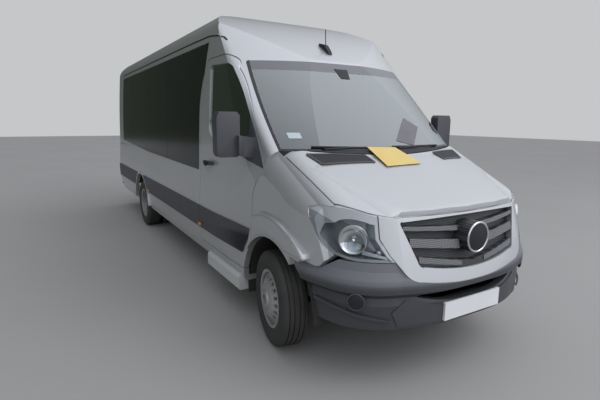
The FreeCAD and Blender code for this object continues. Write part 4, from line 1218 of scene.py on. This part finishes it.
pad = None
for part_name, centre, size, lean, crown in PAD_PARTS:
    part = start(part_name, "cube", size=1, location=[v / 1000 for v in centre], scale=size,
                 rotation=(-math.radians(lean), 0, 0))
    bpy.ops.object.transform_apply(location=False, rotation=True, scale=True)
    pad = join(pad, ease(part, crown, segments=3))
set_down(pad)
modify(pad, "REMESH", mode="VOXEL", voxel_size=VOXEL)
swell(pad)
modify(pad, "SUBSURF", levels=1, render_levels=1)
print("pad", len(pad.data.polygons), "faces", [round(v, 3) for v in pad.dimensions])

# %% Seats in their places
FLOOR_TOP = 700
CAB_SEATS = [(450, 760, 500), (-235, 760, 430), (-680, 760, 430)]
ROW_FIRST = 1800
ROW_PITCH = 770
ROW_COUNT = 5
ROW_SEATS = [(-680, 430), (-238, 430), (650, 430)]
FOOT_BACK = 250
FOOT_MIDDLE = 165
FOOT_NARROWER = 0.10
FOOT_DEEP, FOOT_TALL = 0.36, 0.33


def seat_row(name, places, node_name):
    """Pads and feet of one row of seats."""
    pads = feet = None
    for x, y, wide in places:
        soft = twin(pad, name)
        soft.scale.x = wide / SEAT_WIDE
        soft.location = mm(x, y, FLOOR_TOP)
        foot = start(name + "_foot", "cube", size=1, location=mm(x, y + FOOT_BACK, FLOOR_TOP + FOOT_MIDDLE),
                     scale=(wide / 1000 - FOOT_NARROWER, FOOT_DEEP, FOOT_TALL))
        set_down(soft)
        set_down(foot)
        pads = join(pads, soft)
        feet = join(feet, foot)
    ease(feet, width=0.012, segments=2)
    settle(pads, "body", CLOTH, smooth=60)
    settle(feet, "body", BLACK)
    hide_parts(node_name)
    return len(pads.data.polygons)


faces = seat_row("cab_seats", CAB_SEATS, "front_seats")
for k in range(ROW_COUNT):
    row = [(x, ROW_FIRST + k * ROW_PITCH, wide) for x, wide in ROW_SEATS]
    faces += seat_row("row_%d_seats" % (k + 1), row, "passenger_seats")
bpy.data.objects.remove(pad)
print("seat faces", faces)

# %% [markdown]
# ## Camera
# The photograph was taken from standing height near the vehicle's right front corner, with a wide
# lens. The place, the turn and the lens were worked out from the wheels, the lamps, the number plate
# and the roof. The camera's matrix is built from three directions, so nothing is aimed by eye.

# %% Camera from its place and angles
CAMERA_AT = Vector((-2.3099, -2.6576 + FRONT_AXLE_Y, 1.6391))
CAMERA_YAW = math.radians(30.93)
CAMERA_DOWN = math.radians(10.43)
CAMERA_ROLL = math.radians(0.495)
FOCAL_IN_WIDTHS = 435.3 / 600
SENSOR = 36.0


def camera_matrix(at, yaw, down, roll):
    """Matrix of a camera that looks along a compass direction, tilted down and rolled."""
    ahead = Vector((math.sin(yaw) * math.cos(down), math.cos(yaw) * math.cos(down), -math.sin(down)))
    level = Vector((math.cos(yaw), -math.sin(yaw), 0))
    upright = level.cross(ahead)
    right = math.cos(roll) * level + math.sin(roll) * upright
    up = math.cos(roll) * upright - math.sin(roll) * level
    m = Matrix((right, up, -ahead)).transposed().to_4x4()
    m.translation = at
    return m


camera_data = bpy.data.cameras.new("photo_camera")
camera_data.sensor_width = SENSOR
camera_data.lens = SENSOR * FOCAL_IN_WIDTHS
camera_data.clip_end = 200.0
camera = bpy.data.objects.new("photo_camera", camera_data)
bpy.context.scene.collection.objects.link(camera)
camera.matrix_world = camera_matrix(CAMERA_AT, CAMERA_YAW, CAMERA_DOWN, CAMERA_ROLL)
bpy.context.scene.camera = camera
print("lens", round(camera_data.lens, 2), "mm")

# %% [markdown]
# ## Floor and light
# In the photograph the sky lights the bonnet, the windscreen and the roof's front, and the side
# facing the camera stands in shade. A sky that is bright ahead and above, and dark behind, does the
# same with two soft lamps over a plain floor. One hard lamp would give edges that the photograph
# doesn't have. The camera sees a plain pale backdrop instead of that sky.

# %% Floor
FLOOR_SIZE = 80
floor = start("studio_floor", "plane", size=FLOOR_SIZE, location=(0, 0, 0))
floor.data.materials.append(finish("floor_paint", (0.30, 0.297, 0.29), (0.34, 0.337, 0.33), 0.9, slow=0.4,
                                   grain=60, specular=0.2))
print("floor", FLOOR_SIZE, "m wide")

# %% Sky and backdrop
SKY_FROM = Vector((0.35, -0.60, 0.72)).normalized()
SKY_LOW, SKY_HIGH = -0.35, 0.95
SKY_DARK = (0.072, 0.089, 0.068, 1)
SKY_BRIGHT = (1.42, 1.45, 1.56, 1)
SKY_STRENGTH = 0.85
BACKDROP = (0.56, 0.57, 0.58, 1)
world = bpy.data.worlds.new("studio")
world.use_nodes = True
sky = world.node_tree
away = node(sky, "ShaderNodeTexCoord", {}).outputs["Generated"]
turn = node(sky, "ShaderNodeVectorMath", {0: away, 1: SKY_FROM}, operation="DOT_PRODUCT").outputs["Value"]
sky_colour = blend(sky, SKY_DARK, SKY_BRIGHT, ramp(sky, turn, SKY_LOW, SKY_HIGH))
light = feed(sky, sky.nodes["Background"], {"Color": sky_colour, "Strength": SKY_STRENGTH})
backdrop = node(sky, "ShaderNodeBackground", {"Color": BACKDROP})
camera_ray = node(sky, "ShaderNodeLightPath", {}).outputs["Is Camera Ray"]
both = blend_shaders(sky, light.outputs["Background"], backdrop.outputs["Background"], camera_ray)
feed(sky, sky.nodes["World Output"], {"Surface": both})
bpy.context.scene.world = world
bpy.context.scene.view_settings.view_transform = "Standard"
print("sky from", [round(v, 2) for v in SKY_FROM])

# %% Lamps


def lamp(name, place, aim, size, power, colour):
    """Square soft lamp aimed at a point."""
    data = bpy.data.lights.new(name, "AREA")
    data.shape = "SQUARE"
    data.size = size
    data.energy = power
    data.color = colour
    thing = bpy.data.objects.new(name, data)
    bpy.context.scene.collection.objects.link(thing)
    thing.location = place
    thing.rotation_euler = (Vector(aim) - Vector(place)).to_track_quat("-Z", "Y").to_euler()
    return thing


key = lamp("key_front", place=(5.0, -9.0, 9.0), aim=(0, -2.0, 1.0), size=7.0, power=420,
           colour=(0.97, 0.98, 1.0))
fill = lamp("fill_right", place=(-8.0, -4.0, 3.5), aim=(0, -0.5, 1.0), size=5.0, power=40,
            colour=(0.9, 0.96, 0.9))
print("lamps", key.data.energy, fill.data.energy, "W")
